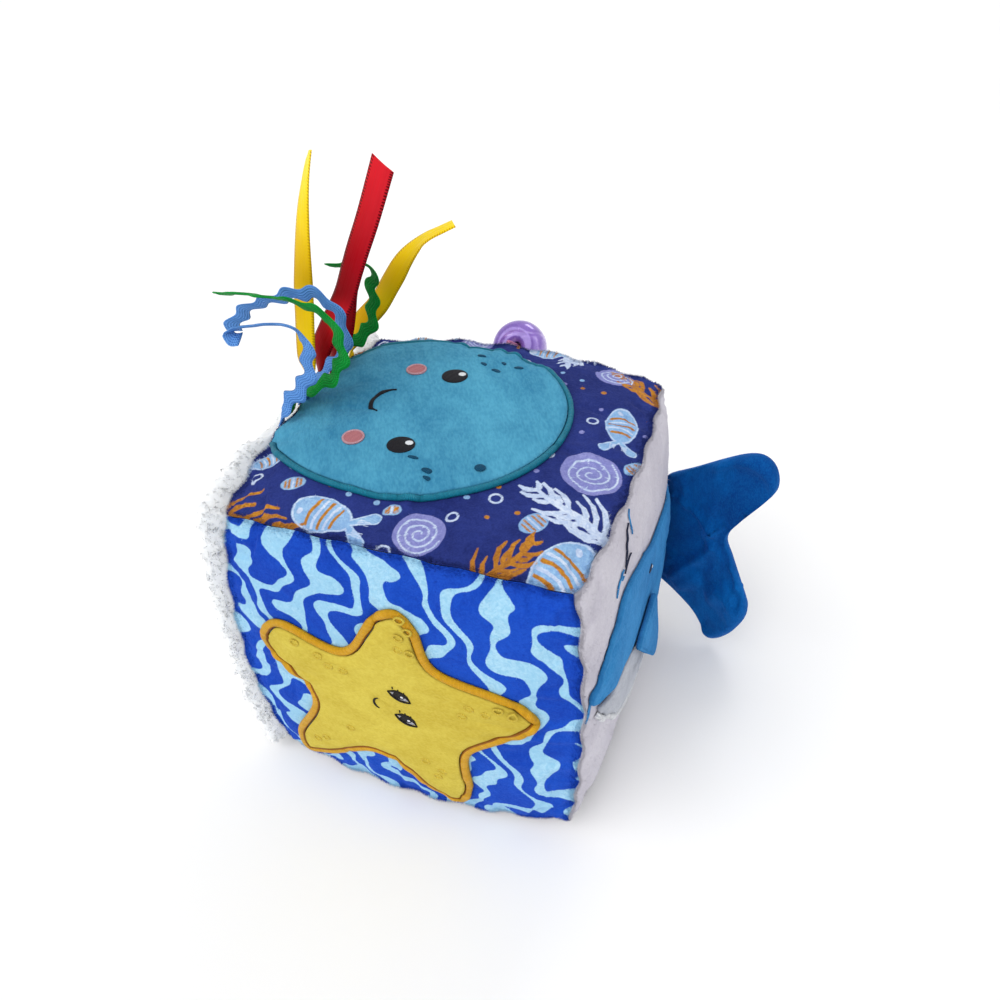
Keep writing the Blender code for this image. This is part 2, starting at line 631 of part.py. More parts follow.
def whale(parent):
    """The whale on the right panel: body, belly with its stitched hem, eye and free fin."""
    edge = spline(all_sized(WHALE_BODY_SHARES, WHALE_LENGTH), WHALE_EDGE_POINTS, closed=True)
    patch("whale_body", "right", counterclockwise(edge), sized(WHALE_HEART_SHARES, WHALE_LENGTH),
              LAYER_GAP, PATCH_CLOTH, "plush_ocean", parent)
    top = spline(all_sized(BELLY_TOP_SHARES, WHALE_LENGTH), BELLY_EDGE_POINTS, closed=False)
    bottom = spline(all_sized(BELLY_BOTTOM_SHARES, WHALE_LENGTH), BELLY_EDGE_POINTS, closed=False)
    hem = inset(bottom, BELLY_STITCH, closed=False)
    stop = inset(bottom, BELLY_STITCH + CLOTH_GAP, closed=False)
    sheet = tuple((k / BELLY_ROWS, PATCH_CLOTH) for k in range(BELLY_ROWS + 1))
    band("whale_belly", "right", stop, top, LAYER_GAP, sheet, "plush_grey", parent)
    band("whale_belly_hem", "right", bottom, hem, LAYER_GAP, satin_profile(),
               "thread_white", parent)
    stitched_spot("whale_eye", "right", sized(WHALE_EYE_AT_SHARES, WHALE_LENGTH),
                  sized(WHALE_EYE_SHARES, WHALE_LENGTH), "thread_black", parent)
    outline = [(a * FIN_SPAN, b * FIN_DROP) for a, b in FIN_OUTLINE_SHARES]
    outline = counterclockwise(spline(outline, FIN_EDGE_POINTS, closed=True))
    heart = (FIN_HEART_SHARES[0] * FIN_SPAN, FIN_HEART_SHARES[1] * FIN_DROP)
    root = on_panel("right", *sized(FIN_ROOT_SHARES, WHALE_LENGTH), FACE_LIFT + FIN_HALF_THICKNESS)

    def fin(spot, side):
        """The fin hangs down from its root, its two faces half its thickness from the middle."""
        half = pillow_half(spot.z, FIN_HALF_THICKNESS, FIN_EDGE)
        return Vector((half * (2 * side - 1), spot.x, spot.y))

    solid = thicken(outline_fan(outline, heart, FIN_RING_SHARES), fin)
    add_piece("whale_fin", solid, "plush_ocean", parent, root, (0, -FIN_LEAN, 0))


def pillow_half(share, middle, edge):
    """Half the thickness of a stuffed shape at a share of the way from its middle to its outline."""
    return edge + (middle - edge) * math.sqrt(max(0.0, 1 - share * share))


def tail_half(share, out):
    """Half the tail's thickness: a pillow that narrows again towards the seam it is sewn into."""
    edge = TAIL_CLOTH + CLOTH_GAP / 2
    full = pillow_half(share, TAIL_HALF_THICKNESS, edge)
    return edge + (full - edge) * min(1.0, out / TAIL_TAPER)


def tail(parent):
    """The whale's stuffed tail: a skin on each side of its filling, hinged on the back right seam."""
    outline = spline(all_sized(TAIL_OUTLINE_SHARES, TAIL_LENGTH), TAIL_EDGE_POINTS, closed=True)
    outline[:, 0] = np.maximum(outline[:, 0], 0.0)
    heart = sized(TAIL_HEART_SHARES, TAIL_LENGTH)
    seam = seam_line(TAIL_OUTLINE_SHARES[0][1] * TAIL_LENGTH) + TAIL_SEAM_OFFSET
    location, turn = (seam, seam, 0.0), (0, 0, TAIL_YAW)
    for name, facing in (("tail_skin_front", -1), ("tail_skin_back", 1)):

        def skin(spot, side, facing=facing):
            """The skin's outer face on side 0 and its inner face on side 1."""
            half = tail_half(spot.z, spot.x) - TAIL_CLOTH * side
            return Vector((spot.x, facing * half, spot.y))

        solid = thicken(outline_fan(outline, heart, TAIL_RING_SHARES), skin)
        add_piece(name, solid, "plush_deep_blue", parent, location, turn)

    def filling(spot, side):
        """The filling's two faces, each one gap inside its skin."""
        half = tail_half(spot.z, spot.x) - TAIL_CLOTH - LAYER_GAP
        return Vector((spot.x, half * (2 * side - 1), spot.y))

    inner = [np.array(heart) + TAIL_FILLING_SHARE * (p - heart) for p in outline]
    fan = outline_fan(inner, heart, TAIL_FILLING_RING_SHARES)
    for vert in fan.verts:
        vert.co.z *= TAIL_FILLING_SHARE
    add_piece("tail_filling", thicken(fan, filling), "filling_white", parent, location, turn)


def strand_route(route_shares, length, step):
    """A strand's middle line at equal steps, scaled so that its length is the strand's own."""
    rough = spline(route_shares, ROUTE_POINTS, closed=False)
    walked = np.sum(np.linalg.norm(np.diff(rough, axis=0), axis=1))
    count = round(length / step) + 1
    return spline(rough * (length / walked), count, closed=False)


def strand(index, name, kind, material, length, route_shares, twists, parent):
    """One ribbon or ric-rac strip that starts across the seam and twists on its way out."""
    flat = kind == "ribbon"
    width = RIBBON_WIDTH if flat else RICRAC_BAND
    half_thick = (RIBBON_THICKNESS if flat else RICRAC_THICKNESS) / 2
    line = strand_route(route_shares, length, RIBBON_STEP if flat else RICRAC_STEP)
    last = len(line) - 1
    level = Vector((0, 1, 0))

    def place(station, corner):
        """A corner of the strip's section at a station along its middle line."""
        before, after = line[max(station - 1, 0)], line[min(station + 1, last)]
        run = Vector((after[0] - before[0], 0, after[1] - before[1])).normalized()
        walked = length * station / last
        turn = math.radians(np.interp(walked / length, *zip(*twists)))
        side = level * math.cos(turn) + run.cross(level) * math.sin(turn)
        face = run.cross(side).normalized()
        middle = Vector((line[station][0], 0, line[station][1]))
        if flat:
            spread = min(1.0, walked / ROOT_PINCH_RUN)
            half = (ROOT_PINCH + (width - ROOT_PINCH) * spread) / 2
        else:
            half = width / 2
            wave = RICRAC_SWING * math.sin(2 * math.pi * walked / RICRAC_PITCH)
            middle += side * wave * min(1.0, walked / RICRAC_RUN_IN)
        across, through = SECTION_CORNERS[corner]
        return middle + side * half * across + face * half_thick * through

    along = STRAND_FIRST_AT + index * STRAND_PITCH
    seam = seam_line(along) + STRAND_SEAM_OFFSET
    solid = rolled_tube(last, len(SECTION_CORNERS), place)
    add_piece(name, solid, material, parent, (-seam, along, seam))


def bead_outline():
    """The bead's section as (radius, height) pairs, all the way round from its hole."""
    half = BEAD_LENGTH / 2
    rim = half - BEAD_DIMPLE_DEPTH
    section = [(BEAD_HOLE, -rim), (BEAD_DIMPLE, -half)]
    for k in range(1, BEAD_STEPS):
        t = math.pi * k / BEAD_STEPS - math.pi / 2
        bulge = BEAD_DIMPLE + (BEAD_RADIUS - BEAD_DIMPLE) * math.cos(t) ** BEAD_FULLNESS
        section.append((bulge, half * math.sin(t)))
    section += [(BEAD_DIMPLE, half), (BEAD_HOLE, rim)]
    return section


def bead_and_cord(parent):
    """The bead on its short knotted cord, which comes out of the top back seam."""
    seam = seam_line(BEAD_AT) + CORD_SEAM_OFFSET
    place = (BEAD_AT, seam, seam)
    tilt = (CORD_SLOPE - math.pi / 2, 0, 0)
    far = BEAD_DISTANCE + BEAD_LENGTH / 2 - BEAD_DIMPLE_DEPTH + KNOT_GAP
    middle = far + KNOT_RADIUS
    profile = [(0.0, CORD_START), (CORD_RADIUS, CORD_START), (CORD_RADIUS, BEAD_DISTANCE),
               (CORD_RADIUS, far)]
    for k in range(1, KNOT_STEPS):
        t = math.pi * k / KNOT_STEPS
        profile.append((max(CORD_RADIUS, KNOT_RADIUS * math.sin(t)), middle - KNOT_RADIUS * math.cos(t)))
    end = middle + KNOT_RADIUS + CORD_TAIL
    profile += [(CORD_RADIUS, middle + KNOT_RADIUS), (CORD_RADIUS, end), (0.0, end)]
    add_piece("bead_cord", turned(profile, CORD_SIDES, closed=False), "cord_pink", parent, place, tilt)
    out = Matrix.Rotation(tilt[0], 3, "X") @ Vector((0, 0, BEAD_DISTANCE))
    add_piece("bead", turned(bead_outline(), BEAD_SIDES, closed=True), "bead_purple", parent,
              Vector(place) + out, tilt)


def build():
    """Build the whole block under one empty at its middle."""
    clear_scene()
    middle = bpy.data.objects.new("block_middle", None)
    middle.location = (0, 0, CENTRE_HEIGHT)
    bpy.context.scene.collection.objects.link(middle)
    filling_core(middle)
    panel_piece("top", "panel_top", "plush_navy", middle)
    panel_piece("front", "panel_front", "plush_royal_blue", middle)
    panel_piece("right", "panel_right", "plush_blush", middle)
    panel_piece("left", "panel_left_fleece", "fleece_white", middle, FLEECE_PILE)
    panel_piece("back", "panel_back", "plush_blush", middle)
    panel_piece("bottom", "panel_bottom", "plush_blush", middle)
    jellyfish(middle)
    starfish(middle)
    whale(middle)
    tail(middle)
    for index, row in enumerate(STRANDS):
        strand(index, *row, middle)
    bead_and_cord(middle)


build()
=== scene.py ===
"""Soft fabric activity block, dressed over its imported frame.

A stuffed plush cube carries a jellyfish, a starfish and a whale as appliqués, a stuffed tail, eight
strands of ribbon and ric-rac along one seam, and a pearly bead on a short cord. Units are metres,
+Z is up, and the origin is the middle of the flat spot that the block stands on.
"""

import logging
import math
from dataclasses import dataclass, field
from enum import Enum
from typing import Callable, Sequence

import bmesh
import bpy
import numpy as np
from bmesh.types import BMEdge, BMesh, BMVert
from bpy.types import Material, Mesh, Node, NodeSocket, NodeTree, Object
from mathutils import Matrix, Vector


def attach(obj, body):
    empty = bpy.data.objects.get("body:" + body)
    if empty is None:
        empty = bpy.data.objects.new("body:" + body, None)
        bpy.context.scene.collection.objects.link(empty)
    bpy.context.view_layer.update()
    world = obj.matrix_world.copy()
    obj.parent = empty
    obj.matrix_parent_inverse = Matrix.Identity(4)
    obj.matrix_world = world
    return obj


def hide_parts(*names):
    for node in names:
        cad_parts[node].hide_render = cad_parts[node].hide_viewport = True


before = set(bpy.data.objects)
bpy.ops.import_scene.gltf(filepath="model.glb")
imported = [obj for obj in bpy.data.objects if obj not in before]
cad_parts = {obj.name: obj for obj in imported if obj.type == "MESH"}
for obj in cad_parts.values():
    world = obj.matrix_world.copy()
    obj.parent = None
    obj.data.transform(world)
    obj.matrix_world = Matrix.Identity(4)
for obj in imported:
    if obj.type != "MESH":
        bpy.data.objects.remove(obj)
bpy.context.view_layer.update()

LOG = logging.getLogger("fabric_block")
MM = 0.001
TAU = 2 * math.pi
WELD = 0.000001
SEARCH_ROUNDS = 8
CURVE_STEPS = 16

Array = np.ndarray
Colour = tuple[float, float, float]
Pair = tuple[float, float]


# Shapes


class Panel(Enum):
    """The six panels: outward direction, first and second in-plane directions."""

    TOP = ((0, 0, 1), (1, 0, 0), (0, 1, 0))
    BOTTOM = ((0, 0, -1), (1, 0, 0), (0, -1, 0))
    FRONT = ((0, -1, 0), (1, 0, 0), (0, 0, 1))
    BACK = ((0, 1, 0), (-1, 0, 0), (0, 0, 1))
    RIGHT = ((1, 0, 0), (0, 1, 0), (0, 0, 1))
    LEFT = ((-1, 0, 0), (0, -1, 0), (0, 0, 1))

    @property
    def axes(self) -> Array:
        """The three directions as the rows of an array."""
        return np.array(self.value, float)

    def ways(self, u: Array, v: Array) -> Array:
        """The cube directions at shares u and v along the two in-plane directions."""
        outward, first, second = self.axes
        return outward + u[:, None] * first + v[:, None] * second


class StrandKind(Enum):
    """How a strand is made."""

    RIBBON = "ribbon"
    RICRAC = "ricrac"


def blurred(grid: Array, radius: float) -> Array:
    """Smooth a square grid of values.

    Args:
        grid: the values.
        radius: the spread of the smoothing, in cells.

    Returns:
        The smoothed grid.
    """
    reach = int(3 * radius) + 1
    weights = np.exp(-0.5 * (np.arange(-reach, reach + 1) / radius) ** 2)
    weights /= weights.sum()
    for axis in (0, 1):
        padded = np.pad(grid, [(reach, reach) if a == axis else (0, 0) for a in (0, 1)], "edge")
        grid = np.apply_along_axis(lambda row: np.convolve(row, weights, "valid"), axis, padded)
    return grid


def spline(points: Sequence[Sequence[float]], count: int, closed: bool) -> Array:
    """Lay points at equal steps along a smooth curve through the given points.

    Args:
        points: the places that the curve passes through.
        count: how many points to lay.
        closed: whether the curve comes back to its start.

    Returns:
        The points, one row each.
    """
    pts = np.array(points, float)
    total = len(pts)
    if closed:
        before, here, after, later = (np.roll(pts, 1 - k, axis=0) for k in range(4))
    else:
        ends = np.vstack([2 * pts[0] - pts[1], pts, 2 * pts[-1] - pts[-2]])
        before, here, after, later = (ends[k:k + total - 1] for k in range(4))
    t = (np.arange(CURVE_STEPS) / CURVE_STEPS)[None, :, None]
    before, here, after, later = (p[:, None, :] for p in (before, here, after, later))
    dense = 0.5 * (2 * here + (after - before) * t
                   + (2 * before - 5 * here + 4 * after - later) * t**2
                   + (3 * here - before - 3 * after + later) * t**3)
    dense = np.vstack([dense.reshape(-1, pts.shape[1]), pts[:1] if closed else pts[-1:]])
    walked = np.concatenate([[0.0], np.cumsum(np.linalg.norm(np.diff(dense, axis=0), axis=1))])
    stops = np.linspace(0.0, walked[-1], count + 1 if closed else count)
    stops = stops[:-1] if closed else stops
    return np.stack([np.interp(stops, walked, column) for column in dense.T], axis=1)


def inset(points: Array, distance: float, closed: bool) -> Array:
    """Move an outline inward, which is to its left as it runs.

    Args:
        points: the outline.
        distance: how far in.
        closed: whether the outline comes back to its start.

    Returns:
        The moved outline.
    """
    before, after = np.roll(points, 1, axis=0), np.roll(points, -1, axis=0)
    if not closed:
        before[0], after[-1] = points[0], points[-1]
    run = after - before
    run = unit(run)
    return points + distance * np.stack([-run[:, 1], run[:, 0]], axis=1)


def unit(rows: Array) -> Array:
    """Scale each row to a length of one."""
    return rows / np.linalg.norm(rows, axis=1, keepdims=True)


def counterclockwise(points: Array) -> Array:
    """Return the outline as it runs with its inside on the left."""
    x, y = points[:, 0], points[:, 1]
    return points if np.sum(x * np.roll(y, -1) - np.roll(x, -1) * y) > 0 else points[::-1]


def ellipse(centre: Pair, radii: Pair, sides: int, lean: float = 0.0) -> Array:
    """Return an ellipse's outline.

    Args:
        centre: its middle.
        radii: its two radii.
        sides: how many points.
        lean: how far its first radius is turned, in radians.

    Returns:
        The outline.
    """
    t = np.arange(sides) * TAU / sides
    across, up = radii[0] * np.cos(t), radii[1] * np.sin(t)
    c, s = math.cos(lean), math.sin(lean)
    return np.stack([centre[0] + c * across - s * up, centre[1] + s * across + c * up], axis=1)


def arc(centre: Pair, radius: float, limits: Pair, count: int) -> Array:
    """Return points along an arc between two angles in degrees."""
    t = np.radians(np.linspace(*limits, count))
    return np.stack([centre[0] + radius * np.cos(t), centre[1] + radius * np.sin(t)], axis=1)


def capsule(p: Array, a: Pair, b: Pair, ra: float, rb: float) -> Array:
    """Measure the distance to a stroke whose half width runs from ra to rb.

    Args:
        p: the places, one row each.
        a: the stroke's start.
        b: its end.
        ra: its half width at the start.
        rb: its half width at the end.

    Returns:
        The distances, negative inside.
    """
    a, b = np.array(a, float), np.array(b, float)
    run = b - a
    share = np.clip(((p - a) @ run) / max(run @ run, 1e-9), 0, 1)
    return np.linalg.norm(p - a - share[:, None] * run, axis=1) - (ra + (rb - ra) * share)


def oval(p: Array, centre: Pair, radii: Pair, lean: float = 0.0) -> Array:
    """Measure the rough distance to a leaning oval, negative inside."""
    c, s = math.cos(lean), math.sin(lean)
    q = (p - np.array(centre)) @ np.array([[c, -s], [s, c]]) / np.array(radii)
    size = np.linalg.norm(q, axis=1)
    return (size - 1) * min(radii) * (0.6 + 0.4 * size)


def coordinates(solid: BMesh) -> Array:
    """Return a bmesh's points, one row each."""
    return np.array([vert.co for vert in solid.verts])


def move_points(solid: BMesh, places: Array) -> None:
    """Put a bmesh's points at the given places."""
    for vert, place in zip(solid.verts, places.tolist()):
        vert.co = place


def sheet_grid(cells: int) -> BMesh:
    """Make a flat square grid with two sides, z telling its under side (0) from its top (1)."""
    flat = bmesh.new()
    bmesh.ops.create_grid(flat, x_segments=cells, y_segments=cells, size=1.0)
    return two_sided(flat)


def two_sided(flat: BMesh) -> BMesh:
    """Give a flat pattern piece a second side that shares its rim, with its points' z raised by 2."""
    made = bmesh.ops.extrude_face_region(flat, geom=flat.faces)["geom"]
    for item in made:
        if isinstance(item, BMVert):
            item.co.z += 2.0
    return flat


def outline_fan(outline: Array, heart: Pair, shares: Sequence[float]) -> BMesh:
    """Fill a flat pattern piece inward from its outline in rings, down to its middle point.

    Args:
        outline: the outline, as rows of two coordinates.
        heart: the middle point.
        shares: how far out each ring lies, the outline itself being 1.

    Returns:
        The pattern piece, each point's z being its share of the way out.
    """
    flat = bmesh.new()
    middle = Vector((*heart, 0.0))
    verts = [flat.verts.new((*p, 1.0)) for p in outline]
    ring = [flat.edges.new(pair) for pair in zip(verts, verts[1:] + verts[:1])]
    for outer, inner in zip(shares[:0:-1], shares[-2::-1]):
        made = bmesh.ops.extrude_edge_only(flat, edges=ring)["geom"]
        moved = {item for item in made if isinstance(item, BMVert)}
        ring = [item for item in made
                if isinstance(item, BMEdge) and set(item.verts) <= moved]
        for vert in moved:
            vert.co = middle + (vert.co - middle) * (inner / outer)
    filled = bmesh.ops.contextual_create(flat, geom=ring)["faces"]
    centre = bmesh.ops.poke(flat, faces=filled)["verts"][0]
    centre.co = middle
    return flat


def pillow(
    outline: Array, heart: Pair, shares: Sequence[float]
) -> tuple[BMesh, Array, Array, Array]:
    """Make a flat pattern piece with two sides.

    Args:
        outline: the outline.
        heart: the middle point.
        shares: how far out each ring lies, the outline itself being 1.

    Returns:
        The piece, its points, which of them are on its top, and their shares of the way out.
    """
    solid = two_sided(outline_fan(outline, heart, shares))
    flat = coordinates(solid)
    top = flat[:, 2] > 1.5
    return solid, flat, top, np.where(top, flat[:, 2] - 2, flat[:, 2])


def rolled_tube(
    stations: int, corners: int, closed: bool, place: Callable[[Array, Array], Array]
) -> tuple[BMesh, Array, Array]:
    """Roll a grid up into a tube, weld it along its seams and close its open ends.

    Args:
        stations: steps along the tube.
        corners: steps round it.
        closed: whether the last station is the first again.
        place: gives the points at arrays of stations and corners.

    Returns:
        The tube, and each point's station and corner.
    """
    tube = bmesh.new()
    bmesh.ops.create_grid(tube, x_segments=stations, y_segments=corners, size=0.5)
    flat = coordinates(tube)
    station = np.rint((flat[:, 0] + 0.5) * stations).astype(int)
    corner = np.rint((flat[:, 1] + 0.5) * corners).astype(int) % corners
    if closed:
        station %= stations
    kept = tube.verts.layers.int.new("kept")
    for index, vert in enumerate(tube.verts):
        vert[kept] = index
    move_points(tube, place(station, corner))
    bmesh.ops.remove_doubles(tube, verts=tube.verts, dist=WELD)
    if not closed:
        bmesh.ops.holes_fill(tube, edges=tube.edges)
    order = np.array([vert[kept] for vert in tube.verts])
    tube.verts.layers.int.remove(kept)
    return tube, station[order], corner[order]


def turned(section: Sequence[Pair], sides: int, closed: bool) -> BMesh:
    """Spin a section of (radius, height) pairs about Z."""
    solid = bmesh.new()
    verts = [solid.verts.new((radius, 0.0, height)) for radius, height in section]
    following = verts[1:] + verts[:1] if closed else verts[1:]
    edges = [solid.edges.new(pair) for pair in zip(verts, following)]
    bmesh.ops.spin(solid, geom=verts + edges, cent=(0, 0, 0), axis=(0, 0, 1),
                   steps=sides, angle=TAU, use_merge=True)
    bmesh.ops.remove_doubles(solid, verts=solid.verts, dist=WELD)
    return solid


def finish_piece(
    name: str, solid: BMesh | Mesh, material: Material, body: str,
    slot: str, nodes: Sequence[str] = (), values: dict[str, Array] | None = None,
    uv: Array | None = None, lap: float = 0.0,
) -> Object:
    """Turn a shape into a finished piece that rides on a body.

    Args:
        name: the piece's name.
        solid: its closed shape, with its place in its points.
        material: its material.
        body: the body it rides on.
        slot: not used.
        nodes: the CAD nodes it stands for.
        values: named values at its points.
        uv: each point's place along and across its strip, in metres.
        lap: the length round a strip that meets itself.

    Returns:
        The piece.
    """
    if isinstance(solid, BMesh):
        bmesh.ops.recalc_face_normals(solid, faces=solid.faces)
        if solid.calc_volume(signed=True) < 0:
            bmesh.ops.reverse_faces(solid, faces=solid.faces)
        mesh = bpy.data.meshes.new(name)
        solid.to_mesh(mesh)
        solid.free()
    else:
        mesh = solid
        mesh.name = name
    for key, column in (values or {}).items():
        mesh.attributes.new(key, "FLOAT", "POINT").data.foreach_set("value", column.astype("f"))
    if uv is not None:
        index = np.empty(len(mesh.loops), "i")
        mesh.loops.foreach_get("vertex_index", index)
        loops = uv[index]
        if lap:
            starts = np.empty(len(mesh.polygons), "i")
            mesh.polygons.foreach_get("loop_start", starts)
            highest = np.maximum.reduceat(loops[:, 0], starts)
            sizes = np.diff(np.append(starts, len(index)))
            wraps = np.repeat(highest, sizes) - loops[:, 0] > lap / 2
            loops[wraps, 0] += lap
        mesh.uv_layers.new(name="strip").data.foreach_set("uv", loops.astype("f").ravel())
    mesh.shade_smooth()
    mesh.materials.append(material)
    piece = bpy.data.objects.new(name, mesh)
    bpy.context.scene.collection.objects.link(piece)
    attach(piece, body)
    if nodes:
        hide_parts(*nodes)
    LOG.info("%s: %d faces on %s", name, len(mesh.polygons), body)
    return piece


def scattered(
    shape: BMesh, places: Array, frames: Array
) -> tuple[Mesh, Array]:
    """Repeat one small shape at many places.

    Args:
        shape: the shape, standing along Z from the origin.
        places: where each copy's origin goes.
        frames: each copy's three axes as the columns of a matrix.

    Returns:
        The mesh of all copies, and the number of its copy at each point.
    """
    bmesh.ops.triangulate(shape, faces=shape.faces)
    shape.verts.index_update()
    points = coordinates(shape)
    corners = np.array([[v.index for v in face.verts] for face in shape.faces])
    shape.free()
    count, size = len(places), len(points)
    placed = np.einsum("nij,vj->nvi", frames, points) + places[:, None, :]
    faces = (corners[None] + (np.arange(count) * size)[:, None, None]).reshape(-1, 3)
    mesh = bpy.data.meshes.new("copies")
    mesh.from_pydata(placed.reshape(-1, 3).tolist(), [], faces.tolist())
    return mesh, np.repeat(np.arange(count), size)


def scatter(
    chance: np.random.Generator, count: int, close: int, span: float, edge: float, spread: float
) -> tuple[Array, Array]:
    """Scatter places over a panel, the first of them close along its four seams.

    Args:
        chance: the source of random numbers.
        count: how many places.
        close: how many of them lie along the seams.
        span: the largest share of the half width.
        edge: the share where the seams' places start.
        spread: how far inward they spread.

    Returns:
        The places' shares u and v.
    """
    u, v = chance.uniform(-span, span, (2, count))
    sides = chance.integers(0, 4, close)
    rim = edge - np.abs(chance.normal(0, spread, close))
    u[:close] = np.where(sides < 2, np.where(sides == 0, rim, -rim), u[:close])
    v[:close] = np.where(sides >= 2, np.where(sides == 2, rim, -rim), v[:close])
    return u, v


def leaning(
    chance: np.random.Generator, panel: Panel, u: Array, v: Array, splay: float,
    rim: float,
) -> tuple[Array, Array]:
    """Lean hairs at random, and outward where they grow close to a seam.

    Args:
        chance: the source of random numbers.
        panel: the panel they grow on.
        u: their shares along its first direction.
        v: their shares along its second direction.
        splay: how far they lean outward at a seam.
        rim: the share from which they do.

    Returns:
        Each hair's direction, and a direction across it.
    """
    lean = chance.normal(0, 0.5, (2, len(u)))
    lean[0] += np.sign(u) * splay * (abs(u) > rim)
    lean[1] += np.sign(v) * splay * (abs(v) > rim)
    along = unit(panel.ways(*lean))
    return along, unit(np.cross(along, chance.normal(0, 1, (len(u), 3))))


# Finishes


def add_node(
    tree: NodeTree, kind: str, inputs: dict | None = None, **settings: object
) -> Node:
    """Add a node, set it up and join or fill its inputs.

    Args:
        tree: the node tree.
        kind: the node's type.
        inputs: for each input's name or number, a socket to join or a value.
        settings: the node's own settings.

    Returns:
        The node.
    """
    node = tree.nodes.new(kind)
    for key, value in settings.items():
        setattr(node, key, value)
    for key, value in (inputs or {}).items():
        if isinstance(value, NodeSocket):
            tree.links.new(value, node.inputs[key])
        else:
            node.inputs[key].default_value = value
    return node


def calc(
    tree: NodeTree, operation: str, a: object, b: object = 0.0, c: object = 0.0
) -> NodeSocket:
    """Add a Math node and return its result."""
    return add_node(tree, "ShaderNodeMath", {0: a, 1: b, 2: c}, operation=operation).outputs[0]


def blend_colours(
    tree: NodeTree, share: object, a: object, b: object
) -> NodeSocket:
    """Mix two colours, each a socket or three numbers, by a share from 0 to 1."""
    a, b = ((*c, 1.0) if isinstance(c, tuple) else c for c in (a, b))
    node = add_node(tree, "ShaderNodeMix", data_type="RGBA")
    for key, value in ((0, share), (6, a), (7, b)):
        if isinstance(value, NodeSocket):
            tree.links.new(value, node.inputs[key])
        else:
            node.inputs[key].default_value = value
    return node.outputs[2]


def ramped(
    tree: NodeTree, value: NodeSocket, low: float, high: float,
    out: Pair = (0.0, 1.0),
) -> NodeSocket:
    """Map a value smoothly from one range to another."""
    inputs = {0: value, 1: low, 2: high, 3: out[0], 4: out[1]}
    return add_node(tree, "ShaderNodeMapRange", inputs, interpolation_type="SMOOTHSTEP").outputs[0]


def noise_value(
    tree: NodeTree, vector: NodeSocket, scale: object, detail: float = 2.0,
    distortion: float = 0.0,
) -> NodeSocket:
    """Add a Noise texture and return its value."""
    inputs = {"Vector": vector, "Scale": scale, "Detail": detail, "Distortion": distortion}
    return add_node(tree, "ShaderNodeTexNoise", inputs).outputs[0]


def object_place(tree: NodeTree) -> NodeSocket:
    """Read the place on the object."""
    return add_node(tree, "ShaderNodeTexCoord").outputs["Object"]


def strip_places(tree: NodeTree) -> tuple[NodeSocket, ...]:
    """Read the place on a strip, in metres: as it is, along, across, and with the two swapped."""
    strip = add_node(tree, "ShaderNodeUVMap", uv_map="strip").outputs[0]
    parts = add_node(tree, "ShaderNodeSeparateXYZ", {0: strip}).outputs
    swapped = add_node(tree, "ShaderNodeCombineXYZ", {0: parts[1], 1: parts[0]}).outputs[0]
    return strip, parts[0], parts[1], swapped


def stored(tree: NodeTree, name: str) -> NodeSocket:
    """Read a value that is stored at the mesh's points."""
    return add_node(tree, "ShaderNodeAttribute", attribute_name=name).outputs["Fac"]


def bumped(
    tree: NodeTree, height: NodeSocket, strength: float, distance: float
) -> NodeSocket:
    """Turn a height into a normal."""
    inputs = {"Height": height, "Strength": strength, "Distance": distance}
    return add_node(tree, "ShaderNodeBump", inputs).outputs[0]


def effect_group(
    name: str, inputs: dict[str, object], outputs: Sequence[str]
) -> tuple[NodeTree, dict, Node] | NodeTree:
    """Start a node group with named inputs and outputs.

    Args:
        name: the group's name.
        inputs: each input's name and first value, a vector where it is None.
        outputs: the outputs' names.

    Returns:
        The tree, its inputs as sockets by name, and its output node.
    """
    tree = bpy.data.node_groups.new(name, "ShaderNodeTree")
    for key, value in inputs.items():
        kind = "NodeSocketVector" if value is None else "NodeSocketFloat"
        socket = tree.interface.new_socket(key, in_out="INPUT", socket_type=kind)
        if value is not None:
            socket.default_value = value
    for key in outputs:
        tree.interface.new_socket(key, in_out="OUTPUT", socket_type="NodeSocketFloat")
    given = tree.nodes.new("NodeGroupInput")
    return tree, {s.name: s for s in given.outputs if s.name}, tree.nodes.new("NodeGroupOutput")


